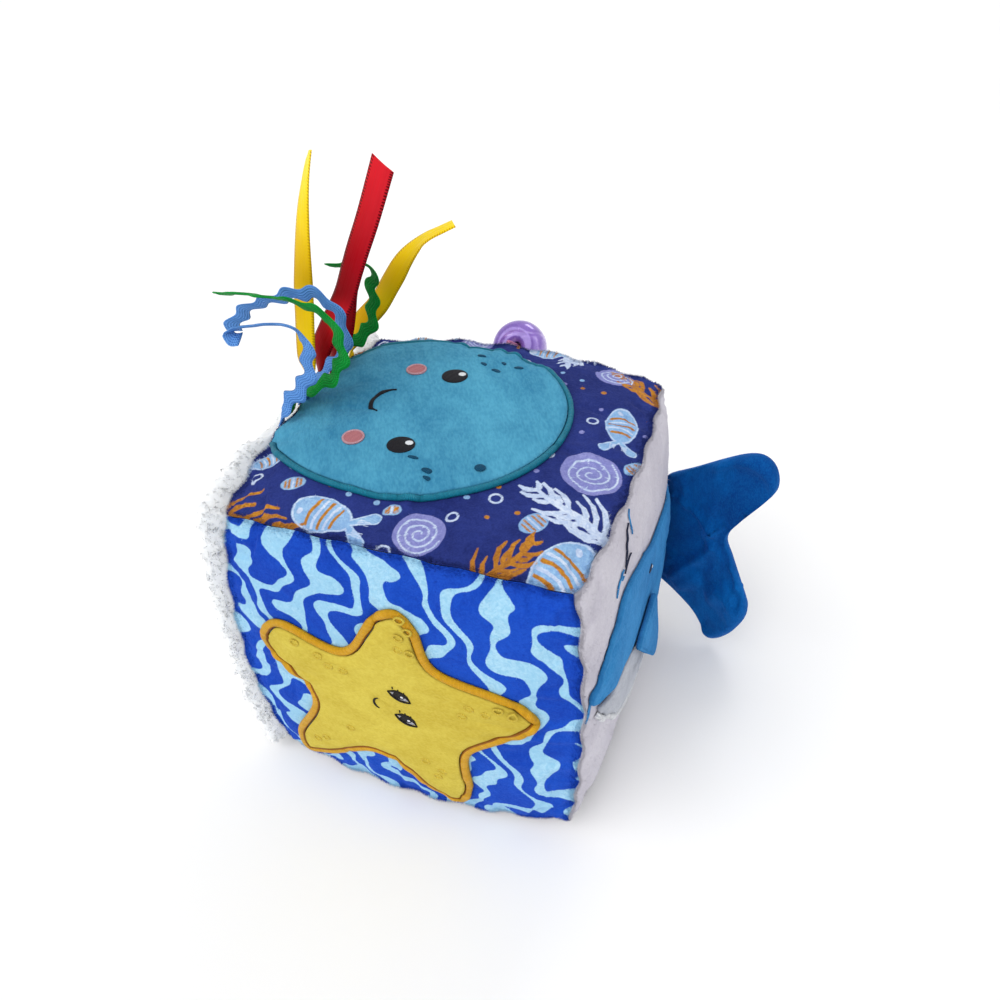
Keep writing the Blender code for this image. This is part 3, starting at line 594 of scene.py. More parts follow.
class Effects:
    """The node groups that the finishes share, each built once."""

    def __init__(self) -> None:
        """Build the groups."""
        self.pile = self.build_pile()
        self.print_edge = self.build_print_edge()
        self.threads = self.build_threads()
        self.wear = self.build_wear()

    @staticmethod
    def build_pile() -> NodeTree:
        """Short pile: hair-fine grain, small tufts and broad patches where the nap leans."""
        tree, given, out = effect_group(
            "Short pile", {"Vector": None, "Grain": 1500.0, "Patch": 45.0}, ("Tone", "Lean", "Height"))
        grain = noise_value(tree, given["Vector"], given["Grain"], 2.0)
        tuft = noise_value(tree, given["Vector"], calc(tree, "MULTIPLY", given["Grain"], 0.3), 2.0, 0.4)
        lean = noise_value(tree, given["Vector"], given["Patch"], 3.0, 0.8)
        mixed = calc(tree, "MULTIPLY_ADD", grain, 0.6, calc(tree, "MULTIPLY", tuft, 0.4))
        tree.links.new(ramped(tree, mixed, 0.34, 0.66), out.inputs["Tone"])
        tree.links.new(ramped(tree, lean, 0.36, 0.68), out.inputs["Lean"])
        tree.links.new(mixed, out.inputs["Height"])
        return tree

    @staticmethod
    def build_print_edge() -> NodeTree:
        """A printed shape's mask from the distance to its edge, ragged where the pile carries it."""
        tree, given, out = effect_group(
            "Print edge", {"Vector": None, "Distance": 1.0, "Ragged": 0.5, "Soft": 0.22}, ("Mask",))
        ragged = noise_value(tree, given["Vector"], 1300.0, 2.0)
        ragged = calc(tree, "MULTIPLY", calc(tree, "SUBTRACT", ragged, 0.5), given["Ragged"])
        edge = calc(tree, "ADD", given["Distance"], ragged)
        share = calc(tree, "DIVIDE", edge, given["Soft"])
        tree.links.new(ramped(tree, share, 1.0, -1.0), out.inputs["Mask"])
        return tree

    @staticmethod
    def build_threads() -> NodeTree:
        """Threads side by side across a strip, given as threads per metre along it."""
        tree, given, out = effect_group(
            "Threads", {"Vector": None, "Count": 2600.0, "Slant": 0.0, "Wander": 0.25},
            ("Ridge", "Tone"))
        parts = add_node(tree, "ShaderNodeSeparateXYZ", {0: given["Vector"]})
        along = calc(tree, "MULTIPLY_ADD", parts.outputs[1], given["Slant"], parts.outputs[0])
        drift = noise_value(tree, given["Vector"], 900.0, 2.0)
        turns = calc(tree, "MULTIPLY_ADD", along, given["Count"],
                     calc(tree, "MULTIPLY", drift, given["Wander"]))
        wave = calc(tree, "SINE", calc(tree, "MULTIPLY", turns, TAU))
        ridge = calc(tree, "MULTIPLY_ADD", wave, 0.5, 0.5)
        tree.links.new(ridge, out.inputs["Ridge"])
        each = add_node(tree, "ShaderNodeTexWhiteNoise", {"W": calc(tree, "FLOOR", turns)},
                        noise_dimensions="1D").outputs[0]
        tree.links.new(each, out.inputs["Tone"])
        return tree

    @staticmethod
    def build_wear() -> NodeTree:
        """Soft handling marks: faint broad patches of shade."""
        tree, given, out = effect_group("Handling", {"Vector": None, "Scale": 30.0}, ("Mask",))
        shade = noise_value(tree, given["Vector"], given["Scale"], 4.0, 0.5)
        tree.links.new(ramped(tree, shade, 0.42, 0.72), out.inputs["Mask"])
        return tree

    def use(
        self, tree: NodeTree, group: NodeTree, **inputs: object
    ) -> Node:
        """Place a group in a material's tree with its own values."""
        return add_node(tree, "ShaderNodeGroup", inputs, node_tree=group)


@dataclass(frozen=True)
class PrintLayer:
    """A printed colour: the named distance it is laid by, and how ragged its edge is."""

    attribute: str
    colour: Colour
    shade: Colour
    ragged: float = 0.32


def fill(tree: NodeTree, node: Node, **inputs: object) -> None:
    """Join or fill a node's inputs, whose names are given with _ for a space."""
    for key, value in inputs.items():
        socket = node.inputs[key.replace("_", " ")]
        if isinstance(value, NodeSocket):
            tree.links.new(value, socket)
        else:
            socket.default_value = (*value, 1.0) if isinstance(value, tuple) and len(value) == 3 \
                and socket.type == "RGBA" else value


@dataclass(frozen=True)
class Finish:
    """A surface finish: its material's name and its main colour."""

    name: str
    colour: Colour

    def material(self, effects: Effects) -> Material:
        """Build the material.

        Args:
            effects: the shared node groups.

        Returns:
            The material.
        """
        material = bpy.data.materials.new(self.name)
        material.use_nodes = True
        tree = material.node_tree
        self.dress(tree, tree.nodes["Principled BSDF"], effects)
        return material

    def dress(self, tree: NodeTree, surface: Node, effects: Effects) -> None:
        """Dress the surface shader, which each finish does in its own way."""
        raise NotImplementedError


@dataclass(frozen=True)
class PlushFinish(Finish):
    """Short-pile plush: its colour, its shade where the pile leans away, and its pile."""

    shade: Colour
    stretch: tuple[float, float, float] = (1.0, 1.0, 1.0)
    turn: float = 0.0
    grain: float = 1500.0
    patch: float = 45.0
    bump: float = 0.7
    rise: float = 0.0007
    sheen: float = 0.35
    prints: tuple[PrintLayer, ...] = ()

    def dress(self, tree: NodeTree, surface: Node, effects: Effects) -> None:
        """Lay the pile, its prints and its handling marks on the surface shader."""
        place = object_place(tree)
        along = add_node(tree, "ShaderNodeMapping", {
            "Vector": place, "Rotation": (0.0, 0.0, self.turn), "Scale": self.stretch},
            vector_type="TEXTURE").outputs[0]
        pile = effects.use(tree, effects.pile, Vector=along, Grain=self.grain, Patch=self.patch)
        worn = effects.use(tree, effects.wear, Vector=place)
        colour, shade = self.colour, self.shade
        brush = ramped(tree, noise_value(tree, along, self.grain * 0.35, 4.0, 1.2), 0.35, 0.7)
        for layer in self.prints:
            distance = stored(tree, layer.attribute)
            edge = effects.use(tree, effects.print_edge, Vector=place, Distance=distance,
                               Ragged=layer.ragged)
            ink = blend_colours(tree, brush, layer.colour, layer.shade)
            colour = blend_colours(tree, edge.outputs[0], colour, ink)
            shade = blend_colours(tree, edge.outputs[0], shade, layer.shade)
        depth = calc(tree, "MULTIPLY_ADD", pile.outputs["Lean"], 0.46,
                     calc(tree, "MULTIPLY_ADD", pile.outputs["Tone"], 0.40,
                          calc(tree, "MULTIPLY", worn.outputs[0], 0.2)))
        bump = bumped(tree, pile.outputs["Height"], self.bump, self.rise)
        fill(tree, surface, Base_Color=blend_colours(tree, depth, colour, shade),
             Roughness=ramped(tree, pile.outputs["Tone"], 0.0, 1.0, (0.78, 0.95)),
             Normal=bump, Sheen_Weight=self.sheen, Sheen_Roughness=0.45,
             Sheen_Tint=tuple(min(1.0, 0.06 + 1.3 * c) for c in self.colour), Specular_IOR_Level=0.1)


@dataclass(frozen=True)
class ThreadFinish(Finish):
    """Satin stitching: threads side by side across a strip, with painted shade in the grooves between
    them, darker along its inner side.
    """

    shade: Colour
    inner: Colour
    inner_from: float = 0.0026
    count: float = 2300.0
    slant: float = 0.25
    rise: float = 0.0003

    def dress(self, tree: NodeTree, surface: Node, effects: Effects) -> None:
        """Dress the surface shader from the shared node groups."""
        strip, _, across, _ = strip_places(tree)
        threads = effects.use(tree, effects.threads, Vector=strip, Count=self.count, Slant=self.slant,
                              Wander=0.9)
        # Each thread's own tone, and painted shade in the grooves between the threads.
        tone = calc(tree, "MULTIPLY_ADD", threads.outputs["Tone"], 0.35,
                    calc(tree, "MULTIPLY", ramped(tree, threads.outputs["Ridge"], 0.6, 0.0), 0.75))
        colour = blend_colours(tree, tone, self.colour, self.shade)
        inside = ramped(tree, across, self.inner_from, self.inner_from + 0.0003)
        bump = bumped(tree, threads.outputs["Ridge"], 0.8, self.rise)
        fill(tree, surface, Base_Color=blend_colours(tree, inside, colour, self.inner),
             Roughness=ramped(tree, threads.outputs["Tone"], 0.0, 1.0, (0.34, 0.55)),
             Normal=bump, Specular_IOR_Level=0.25)


@dataclass(frozen=True)
class EmbroideryFinish(Finish):
    """A small stitched mark: slanting threads in one colour over the cloth, with painted shade in the
    grooves between them.
    """

    shade: Colour
    lean: float = 0.6
    count: float = 2200.0

    def dress(self, tree: NodeTree, surface: Node, effects: Effects) -> None:
        """Dress the surface shader from the shared node groups."""
        place = object_place(tree)
        turn = add_node(tree, "ShaderNodeMapping", {"Vector": place, "Rotation": (0.5, 0.4, self.lean)})
        threads = effects.use(tree, effects.threads, Vector=turn.outputs[0], Count=self.count,
                              Wander=0.6)
        # Each thread's own tone, and painted shade in the grooves between the threads.
        tone = calc(tree, "MULTIPLY_ADD", threads.outputs["Tone"], 0.3,
                    ramped(tree, threads.outputs["Ridge"], 0.5, 0.0))
        bump = bumped(tree, threads.outputs["Ridge"], 0.7, 0.00025)
        fill(tree, surface, Base_Color=blend_colours(tree, tone, self.colour, self.shade),
             Roughness=ramped(tree, threads.outputs["Tone"], 0.0, 1.0, (0.4, 0.6)),
             Normal=bump, Specular_IOR_Level=0.12)


@dataclass(frozen=True)
class RibbonFinish(Finish):
    """Satin ribbon: fine threads along it, a slow change of shine painted into its colour as patches of
    painted shade and painted highlight, brighter towards its free end, and a looped edge.
    """

    # shade is the colour of the ribbon's painted shade, shine the colour of its painted highlight.
    shade: Colour
    shine: Colour
    edge: Colour
    half_width: float = 0.00475
    picot: float = 900.0

    def dress(self, tree: NodeTree, surface: Node, effects: Effects) -> None:
        """Dress the surface shader from the shared node groups."""
        strip, along, across, flipped = strip_places(tree)
        warp = effects.use(tree, effects.threads, Vector=flipped, Count=3200.0, Wander=0.4)
        loops = effects.use(tree, effects.threads, Vector=strip, Count=self.picot, Wander=0.2)
        place = object_place(tree)
        # Painted shade and painted highlight in slow patches over the ribbon.
        gleam = noise_value(tree, place, 26.0, 1.0, 0.3)
        colour = blend_colours(tree, ramped(tree, gleam, 0.35, 0.65), self.shade, self.colour)
        colour = blend_colours(tree, calc(tree, "MULTIPLY", ramped(tree, gleam, 0.55, 0.8), 0.6),
                               colour, self.shine)
        # Painted highlight that brightens the ribbon from 45 to 105 mm along it, towards its free end.
        colour = blend_colours(tree, ramped(tree, along, 0.045, 0.105), colour, self.shine)
        colour = blend_colours(tree, calc(tree, "MULTIPLY", warp.outputs["Tone"], 0.14),
                               colour, self.shade)
        side = calc(tree, "ABSOLUTE", across)
        rim = ramped(tree, side, self.half_width - 0.0013, self.half_width - 0.0011)
        dots = calc(tree, "MULTIPLY", rim, ramped(tree, loops.outputs["Ridge"], 0.45, 0.8))
        height = calc(tree, "MULTIPLY_ADD", loops.outputs["Ridge"], rim,
                      calc(tree, "MULTIPLY", warp.outputs["Ridge"], 0.25))
        bump = bumped(tree, height, 0.5, 0.0002)
        fill(tree, surface, Base_Color=blend_colours(tree, dots, colour, self.edge),
             Roughness=ramped(tree, warp.outputs["Tone"], 0.0, 1.0, (0.26, 0.38)),
             Normal=bump, Anisotropic=0.5, Specular_IOR_Level=0.06)


@dataclass(frozen=True)
class RicracFinish(Finish):
    """Woven ric-rac: raised cords along the strip with small stitches across them, and painted shade
    where the stitches sink into the grooves between the cords.
    """

    shade: Colour
    band: float = 0.0066
    cords: int = 6

    def dress(self, tree: NodeTree, surface: Node, effects: Effects) -> None:
        """Dress the surface shader from the shared node groups."""
        strip, _, _, flipped = strip_places(tree)
        cords = effects.use(tree, effects.threads, Vector=flipped, Count=self.cords / self.band,
                            Wander=0.0)
        stitch = effects.use(tree, effects.threads, Vector=strip, Count=1300.0, Slant=0.7, Wander=0.3)
        # Painted shade in the grooves between the cords, deepest where the stitches cross them.
        painted_groove_shade = ramped(tree, cords.outputs["Ridge"], 0.7, 0.2)
        knots = calc(tree, "MULTIPLY", painted_groove_shade, ramped(tree, stitch.outputs["Ridge"], 0.2, 0.8))
        tone = calc(tree, "MULTIPLY_ADD", knots, 0.95,
                    calc(tree, "MULTIPLY", stitch.outputs["Tone"], 0.2))
        height = calc(tree, "MULTIPLY_ADD", cords.outputs["Ridge"], 0.7,
                      calc(tree, "MULTIPLY", stitch.outputs["Ridge"], 0.3))
        bump = bumped(tree, height, 0.9, 0.00035)
        fill(tree, surface, Base_Color=blend_colours(tree, tone, self.colour, self.shade),
             Roughness=ramped(tree, stitch.outputs["Tone"], 0.0, 1.0, (0.55, 0.75)),
             Normal=bump, Specular_IOR_Level=0.12)


@dataclass(frozen=True)
class WoolFinish(Finish):
    """Curly fleece or loose filling: bright on its curls, with painted shade that greys it in its
    hollows.
    """

    painted_hollow_shade: Colour
    grain: float = 1100.0
    rise: float = 0.001

    def dress(self, tree: NodeTree, surface: Node, effects: Effects) -> None:
        """Dress the surface shader from the shared node groups."""
        place = object_place(tree)
        pile = effects.use(tree, effects.pile, Vector=place, Grain=self.grain, Patch=70.0)
        # Painted shade: grey where the stored height is low, in the hollows between curls and lumps.
        height = ramped(tree, stored(tree, "height"), 0.0, 1.0)
        lit = calc(tree, "MULTIPLY_ADD", height, 0.75,
                   calc(tree, "MULTIPLY", pile.outputs["Tone"], 0.25))
        bump = bumped(tree, pile.outputs["Height"], 0.6, self.rise)
        fill(tree, surface, Base_Color=blend_colours(tree, lit, self.painted_hollow_shade, self.colour),
             Roughness=ramped(tree, pile.outputs["Tone"], 0.0, 1.0, (0.85, 0.97)),
             Normal=bump, Subsurface_Weight=0.8, Subsurface_Scale=0.004,
             Subsurface_Radius=(1.0, 1.0, 1.0), Sheen_Weight=0.2, Sheen_Roughness=0.6,
             Specular_IOR_Level=0.05)


@dataclass(frozen=True)
class PearlFinish(Finish):
    """Pearly moulded plastic: swirls of paler and deeper colour under a clear gloss, and a painted sheen
    that pales it towards its outline.
    """

    pale: Colour
    deep: Colour

    def dress(self, tree: NodeTree, surface: Node, effects: Effects) -> None:
        """Dress the surface shader from the shared node groups."""
        place = object_place(tree)
        swirl = noise_value(tree, place, 110.0, 4.0, 2.2)
        worn = effects.use(tree, effects.wear, Vector=place, Scale=240.0)
        colour = blend_colours(tree, ramped(tree, swirl, 0.35, 0.6), self.deep, self.colour)
        colour = blend_colours(tree, ramped(tree, swirl, 0.56, 0.72), colour, self.pale)
        # Painted sheen: the colour turns paler where the surface turns away from the view.
        rim = add_node(tree, "ShaderNodeLayerWeight", {"Blend": 0.35}).outputs["Facing"]
        colour = blend_colours(tree, calc(tree, "MULTIPLY", rim, 0.35), colour, self.pale)
        bump = bumped(tree, worn.outputs[0], 0.08, 0.0002)
        fill(tree, surface, Base_Color=colour, Metallic=0.15,
             Roughness=ramped(tree, worn.outputs[0], 0.0, 1.0, (0.2, 0.32)),
             Coat_Weight=0.8, Coat_Roughness=0.08, Normal=bump, Specular_IOR_Level=0.6)


@dataclass(frozen=True)
class FloorFinish(Finish):
    """A plain pale studio floor with the faintest unevenness."""

    shade: Colour

    def dress(self, tree: NodeTree, surface: Node, effects: Effects) -> None:
        """Dress the surface shader from the shared node groups."""
        place = object_place(tree)
        worn = effects.use(tree, effects.wear, Vector=place, Scale=3.0)
        fill(tree, surface, Base_Color=blend_colours(tree, worn.outputs[0], self.colour, self.shade),
             Roughness=ramped(tree, worn.outputs[0], 0.0, 1.0, (0.85, 0.9)), Specular_IOR_Level=0.1)


# The stuffed cube


@dataclass
class BlockForm:
    """The outer form of the stuffed cube, with the puckers that its seams draw into the cloth."""

    seam_to_seam: float = 0.1408
    crown_rise: float = 0.0029
    corner_draw: float = 0.0053
    rest_cut: float = 0.0005
    cloth: float = 0.0022
    seam_depth: float = 0.0012
    seam_round: float = 0.0025
    gap: float = 0.0003
    layer_gap: float = 0.0004
    patch_cloth: float = 0.0015
    sim_cells: int = 40
    growth: float = -0.07
    pressure: float = 4.0
    pucker_limit: float = 0.0013
    sway: float = 0.0010
    sway_reach: float = 0.009
    puckers: dict[Panel, Array] = field(default_factory=dict)

    @property
    def face_to_face(self) -> float:
        """Distance between the crowns of two opposite panels."""
        return self.seam_to_seam + 2 * self.crown_rise

    @property
    def centre(self) -> Array:
        """The middle of the block."""
        return np.array([0, 0, self.face_to_face / 2 - self.rest_cut])

    @property
    def edge_share(self) -> float:
        """The share of the half width where a panel's cloth ends."""
        return 1 - self.gap / (self.seam_to_seam / 2)

    @property
    def face_lift(self) -> float:
        """How far above a panel the stitching on an appliqué starts."""
        return 2 * self.layer_gap + self.patch_cloth

    def reach(self, n: Array) -> Array:
        """Half width along a cube direction whose length is n times its largest part."""
        knots = ((1.0, self.face_to_face / 2), (math.sqrt(0.5), self.seam_to_seam / 2),
                 (math.sqrt(1 / 3), self.seam_to_seam / 2 - self.corner_draw))
        total = 0.0
        for i, (w, value) in enumerate(knots):
            for j, (other, _) in enumerate(knots):
                if j != i:
                    value = value * (1 / n - other) / (w - other)
            total = total + value
        return total

    def edge_reach(self, u: Array, v: Array) -> tuple[Array, Array]:
        """Return the half width, grooved at the seams, and how far in from a seam the place is."""
        reach = self.reach(np.sqrt(1 + u * u + v * v))
        side = np.maximum(1 - np.maximum(abs(u), abs(v)), 0)
        return reach - self.seam_depth * np.exp(-side * reach / self.seam_round), side

    def inside(self, panel: Panel, u: Array, v: Array) -> Array:
        """Return points of a panel's inner face, in the row's frame."""
        ways = panel.ways(u, v)
        return ways * (self.reach(np.linalg.norm(ways, axis=1)) - self.cloth)[:, None] + self.centre

    def in_plane(self, panel: Panel, places: Array) -> Array:
        """Return places as a panel's own two coordinates, in millimetres."""
        middle = (places - self.centre) / MM
        return np.stack([middle @ way for way in panel.axes[1:]], axis=1)

    def points(self, panel: Panel, u: Array, v: Array, lift: object = 0.0) -> Array:
        """Return points of a panel, about the block's middle.

        Args:
            panel: the panel.
            u: shares of the half width along its first direction.
            v: shares along its second direction.
            lift: how far outward the points are moved.

        Returns:
            The points, one row each.
        """
        reach, side = self.edge_reach(u, v)
        reach = reach + self.pucker(panel, u, v) + lift
        ways = panel.ways(u, v)
        places = ways * reach[:, None]
        near = np.exp(-side * self.seam_to_seam / 2 / self.sway_reach)
        return places + self.wavering(ways * self.seam_to_seam / 2) * near[:, None]

    def wavering(self, places: Array) -> Array:
        """How far the seams stray from straight lines, as hand-guided sewing leaves them."""
        x, y, z = places.T
        waves = [np.sin(290 * a + 1.7 * np.sin(170 * b) + c) + 0.7 * np.sin(560 * b + 2.1 * c)
                 for a, b, c in ((y + z, x, 0.4), (x + z, y, 1.9), (x + y, z, 3.1))]
        return self.sway * 0.6 * np.stack(waves, axis=1)

    def pucker(self, panel: Panel, u: Array, v: Array) -> Array:
        """Read how far the puckers stand out at places of a panel."""
        grid = self.puckers.get(panel)
        if grid is None:
            return np.zeros_like(u)
        last = len(grid) - 1
        x, y = (np.clip((s + 1) / 2 * last, 0, last - 1e-6) for s in (u, v))
        i, j = x.astype(int), y.astype(int)
        a, b = x - i, y - j
        a, b = a * a * (3 - 2 * a), b * b * (3 - 2 * b)
        return (grid[i, j] * (1 - a) * (1 - b) + grid[i + 1, j] * a * (1 - b)
                + grid[i, j + 1] * (1 - a) * b + grid[i + 1, j + 1] * a * b)

    def shares(self, a: Array, b: Array) -> tuple[Array, Array]:
        """Return the shares u and v of the place whose in-plane coordinates are a and b."""
        u, v = np.zeros_like(a), np.zeros_like(b)
        for _ in range(SEARCH_ROUNDS):
            reach = self.edge_reach(u, v)[0]
            u, v = a / reach, b / reach
        return u, v

    def on_panel(self, panel: Panel, a: Array, b: Array, lift: object) -> Array:
        """Return points above a panel, in the row's frame.

        Args:
            panel: the panel.
            a: coordinates along its first direction, in metres.
            b: coordinates along its second direction.
            lift: the height above the cloth, along its normal.

        Returns:
            The points, one row each.
        """
        a, b = np.asarray(a, float), np.asarray(b, float)
        u, v = self.shares(a, b)
        step = 0.01
        across = self.points(panel, u + step, v) - self.points(panel, u - step, v)
        along = self.points(panel, u, v + step) - self.points(panel, u, v - step)
        normal = np.cross(across, along)
        normal = unit(normal)
        lift = np.broadcast_to(np.asarray(lift, float), a.shape)
        return self.points(panel, u, v) + normal * lift[:, None] + self.centre

    def seam_line(self, along: float) -> float:
        """Distance from the middle of the block to a seam, at a place along the seam."""
        reach = self.seam_to_seam / 2
        for _ in range(SEARCH_ROUNDS):
            reach = self.reach(math.sqrt(2 + (along / reach) ** 2)) - self.seam_depth
        return reach

    def settle(self) -> None:
        """Blow the cover up by cloth simulation, its seams held, and keep the puckers it forms."""
        cells = self.sim_cells
        shell = bmesh.new()
        bmesh.ops.create_cube(shell, size=2.0)
        bmesh.ops.subdivide_edges(shell, edges=shell.edges, cuts=cells - 1, use_grid_fill=True)
        cube = coordinates(shell)
        rest = cube * self.reach(np.linalg.norm(cube, axis=1))[:, None]
        move_points(shell, rest)
        held = [int(k) for k in np.nonzero(np.sort(abs(cube), axis=1)[:, 1] > 1 - 1e-4)[0]]
        blown = simulated("cover", shell, held, self.growth, self.pressure, bending=0.15)
        out = np.sum((blown - rest) * cube, axis=1) / np.sum(cube * cube, axis=1)
        for panel in Panel:
            outward, first, second = panel.axes
            here = cube @ outward > 1 - 1e-4
            i, j = (np.rint((cube[here] @ way + 1) / 2 * cells).astype(int) for way in (first, second))
            grid = np.zeros((cells + 1, cells + 1))
            grid[i, j] = out[here]
            grid -= blurred(grid, 4.0)
            side = np.linspace(-1, 1, cells + 1)
            inner = 1 - np.maximum.outer(abs(side), abs(side)) ** 16
            self.puckers[panel] = self.pucker_limit * np.tanh(grid * inner / self.pucker_limit)
            LOG.info("puckers on %s: %.2f mm", panel.name, abs(self.puckers[panel]).max() / MM)


def simulated(
    name: str, solid: BMesh, held: Sequence[int], growth: float, pressure: float,
    frames: int = 20, bending: float = 0.3,
) -> Array:
    """Blow a closed cloth form up and return where its points come to rest.

    Args:
        name: a name for the work piece.
        solid: the form, which is used up.
        held: the points that stay where they are.
        growth: how much smaller than the cloth the form is, as a negative share.
        pressure: the pressure inside.
        frames: how long it is blown up for.
        bending: the cloth's bending stiffness.

    Returns:
        The points, one row each.
    """
    bmesh.ops.recalc_face_normals(solid, faces=solid.faces)
    mesh = bpy.data.meshes.new(name)
    solid.to_mesh(mesh)
    solid.free()
    form = bpy.data.objects.new(name, mesh)
    scene = bpy.context.scene
    scene.collection.objects.link(form)
    pinned = form.vertex_groups.new(name="held")
    pinned.add(list(held), 1.0, "REPLACE")
    cloth = form.modifiers.new("Cloth", "CLOTH")
    settings = cloth.settings
    settings.quality = 6
    settings.mass = 0.2
    settings.air_damping = 4.0
    settings.tension_stiffness = settings.compression_stiffness = 25.0
    settings.shear_stiffness = 6.0
    settings.bending_stiffness = bending
    settings.vertex_group_mass = "held"
    settings.use_pressure = True
    settings.uniform_pressure_force = pressure
    settings.shrink_min = growth
    settings.effector_weights.gravity = 0.0
    cloth.point_cache.frame_start, cloth.point_cache.frame_end = 1, frames
    for step in range(1, frames + 1):
        scene.frame_set(step)
    seen = form.evaluated_get(bpy.context.evaluated_depsgraph_get())
    places = np.empty(len(seen.data.vertices) * 3)
    seen.data.vertices.foreach_get("co", places)
    scene.frame_set(1)
    bpy.data.objects.remove(form, do_unlink=True)
    bpy.data.meshes.remove(mesh)
    return places.reshape(-1, 3)


@dataclass
class Dressed:
    """A sub-assembly: the block that it is fitted to and the node groups its finishes share."""

    form: BlockForm
    effects: Effects

    def thread(self, name: str, colour: Colour, shade: Colour) -> Material:
        """Make the material of stitched marks."""
        return EmbroideryFinish(name, colour, shade).material(self.effects)


# The printed cloth


@dataclass
class SeaPrint:
    """The sea-life print on the top panel: fish, fronds of weed, snails, pebbles and bubbles."""

    fish: tuple = ((-27, -60, 172, 16.5), (58, -58, 62, 19.0), (58, 21, 98, 14.5), (-61, -37, 40, 10.0),
                   (-42, 65, 14, 11.5), (14, 67, 176, 11.0))
    fronds: tuple = (("ochre", -72, -68, 22, 36), ("ochre", 34, -77, 86, 28),
                     ("white", 74, -47, 128, 39), ("ochre", 74, 38, 116, 33),
                     ("white", 28, 77, -74, 22), ("white", -73, -19, 40, 18),
                     ("ochre", -73, 50, -8, 24))
    snails: tuple = ((9, -59, 9.0, 0.4), (55, -12, 11.0, 1.6), (47, 56, 8.4, 2.4), (-18, 67, 7.2, 0.0))
    pebbles: tuple = ((-4, -52, 3.4, 2.6, 0.3), (44, -44, 5.6, 4.0, 1.0), (69, -2, 5.0, 3.6, 0.9),
                      (-44, -49, 4.6, 3.4, 0.4), (-68, 70, 5.0, 3.6, 0.4))
    spacing: float = 9.6

    def layers(self, places: Array) -> dict[str, Array]:
        """Lay the print out.

        Args:
            places: places on the panel in millimetres, one row each.

        Returns:
            The distance to the edge of each printed colour, in millimetres, negative inside it.
        """
        layer = {key: np.full(len(places), 9.0) for key in ("ochre", "pale", "lilac", "white")}

        def lay(key: str, distance: Array) -> None:
            """Add a shape to a colour."""
            layer[key] = np.minimum(layer[key], distance)

        for key, x, y, lean, size in self.fronds:
            self.lay_frond(lay, key, places, (x, y), math.radians(lean), size)
        for x, y, lean, size in self.fish:
            self.lay_fish(lay, places, (x, y), math.radians(lean), size)
        for x, y, size, lean in self.snails:
            lay("lilac", np.linalg.norm(places - (x, y), axis=1) - size)
            turn = np.linspace(0, 2.9 * TAU, 60)
            coil = np.stack([np.cos(turn + lean), np.sin(turn + lean)], 1) * (
                (0.10 + 0.80 * turn / turn[-1]) * size)[:, None] + (x, y)
            for k, (a, b) in enumerate(zip(coil[:-1], coil[1:])):
                lay("white", capsule(places, a, b, 0.34, 0.34))
                if k % 3 == 0 and k > 20:
                    rib = (x, y) + (coil[k] - (x, y)) * (1 - 0.17 * size / 8)
                    lay("white", capsule(places, coil[k], rib, 0.24, 0.16))
        for x, y, rx, ry, lean in self.pebbles:
            shape = oval(places, (x, y), (rx, ry), lean)
            lay("pale", shape)
            across = (places - (x, y)) @ np.array([math.cos(lean), math.sin(lean)])
            for shift in (-0.62, -0.3, 0.0, 0.3, 0.62):
                stripe = abs(across - shift * rx) - 0.42
                lay("ochre" if shift else "white", np.maximum(shape + 0.5, stripe))
        self.lay_bubbles(lay, places, np.minimum.reduce(list(layer.values())))
        return {f"print_{key}": value for key, value in layer.items()}

    @staticmethod
    def lay_fish(lay: Callable, places: Array, at: Pair, lean: float, size: float) -> None:
        """Lay one fish, its nose towards its lean, with striped sides and combed fins."""
        way = np.array([math.cos(lean), math.sin(lean)])
        up = np.array([-way[1], way[0]])
        middle = np.array(at, float)
        body = oval(places, at, (size * 0.74, size * 0.42), lean)
        root = middle - way * size * 0.64
        for side in (1, -1):
            tip = root - way * size * 0.46 + up * side * size * 0.34
            body = np.minimum(body, capsule(places, root, tip, size * 0.06, size * 0.16))
            top = middle + up * side * size * 0.36
            body = np.minimum(body, capsule(places, top, top - way * size * 0.36, 1.3, 0.4))
            for k in range(3):
                comb = root + (tip - root) * 0.45 + up * side * size * (0.05 * k - 0.05)
                lay("white", capsule(places, comb, comb - way * size * 0.24, 0.25, 0.15))
        lay("pale", body)
        across, height = (places - middle) @ way, (places - middle) @ up
        inside = oval(places, at, (size * 0.74, size * 0.42), lean) + 0.9
        for k in range(5):
            bend = 0.12 * size * (1 - (height / (0.42 * size)) ** 2)
            stripe = abs(across - (0.15 * k - 0.46) * size - bend) - (0.036 - 0.004 * (k % 2)) * size
            lay("ochre" if k % 2 == 0 else "white", np.maximum(inside, stripe))
        eye = middle + way * size * 0.5 + up * size * 0.08
        lay("white", np.linalg.norm(places - eye, axis=1) - 1.15)
        lay("white", np.maximum(abs(body + 0.3) - 0.22, body))

    @staticmethod
    def lay_frond(
        lay: Callable, key: str, places: Array, root: Pair, lean: float, size: float
    ) -> None:
        """Lay one frond of weed: a curved stem with curling leaves on both sides."""
        steps = 11
        bend = lean + 0.6 * np.sin(np.linspace(0, 2.6, steps)) * (1 if size % 2 else -1)
        ways = np.stack([np.cos(bend), np.sin(bend)], 1)
        stem = np.vstack([[root], np.array(root) + np.cumsum(ways * size / steps, axis=0)])
        for k, (a, b) in enumerate(zip(stem[:-1], stem[1:])):
            lay(key, capsule(places, a, b, (2.2 - 0.14 * k) * size / 36, (2.1 - 0.14 * k) * size / 36))
            if not k:
                continue
            for side in (1, -1):
                if (k + side) % 4 == 0:
                    continue
                spot, long = b, size * (0.18 - 0.012 * k) * (1.0 if (k + side) % 3 else 0.65)
                for part, (spread, thick) in enumerate(((0.95, 1.0), (0.62, 1.25), (0.2, 0.95))):
                    turn = bend[k] + side * spread
                    tip = spot + np.array([math.cos(turn), math.sin(turn)]) * long
                    wide = (0.3 + 0.55 * size / 36) * thick
                    lay(key, capsule(places, spot, tip, wide, wide - 0.15 * part))
                    spot = tip

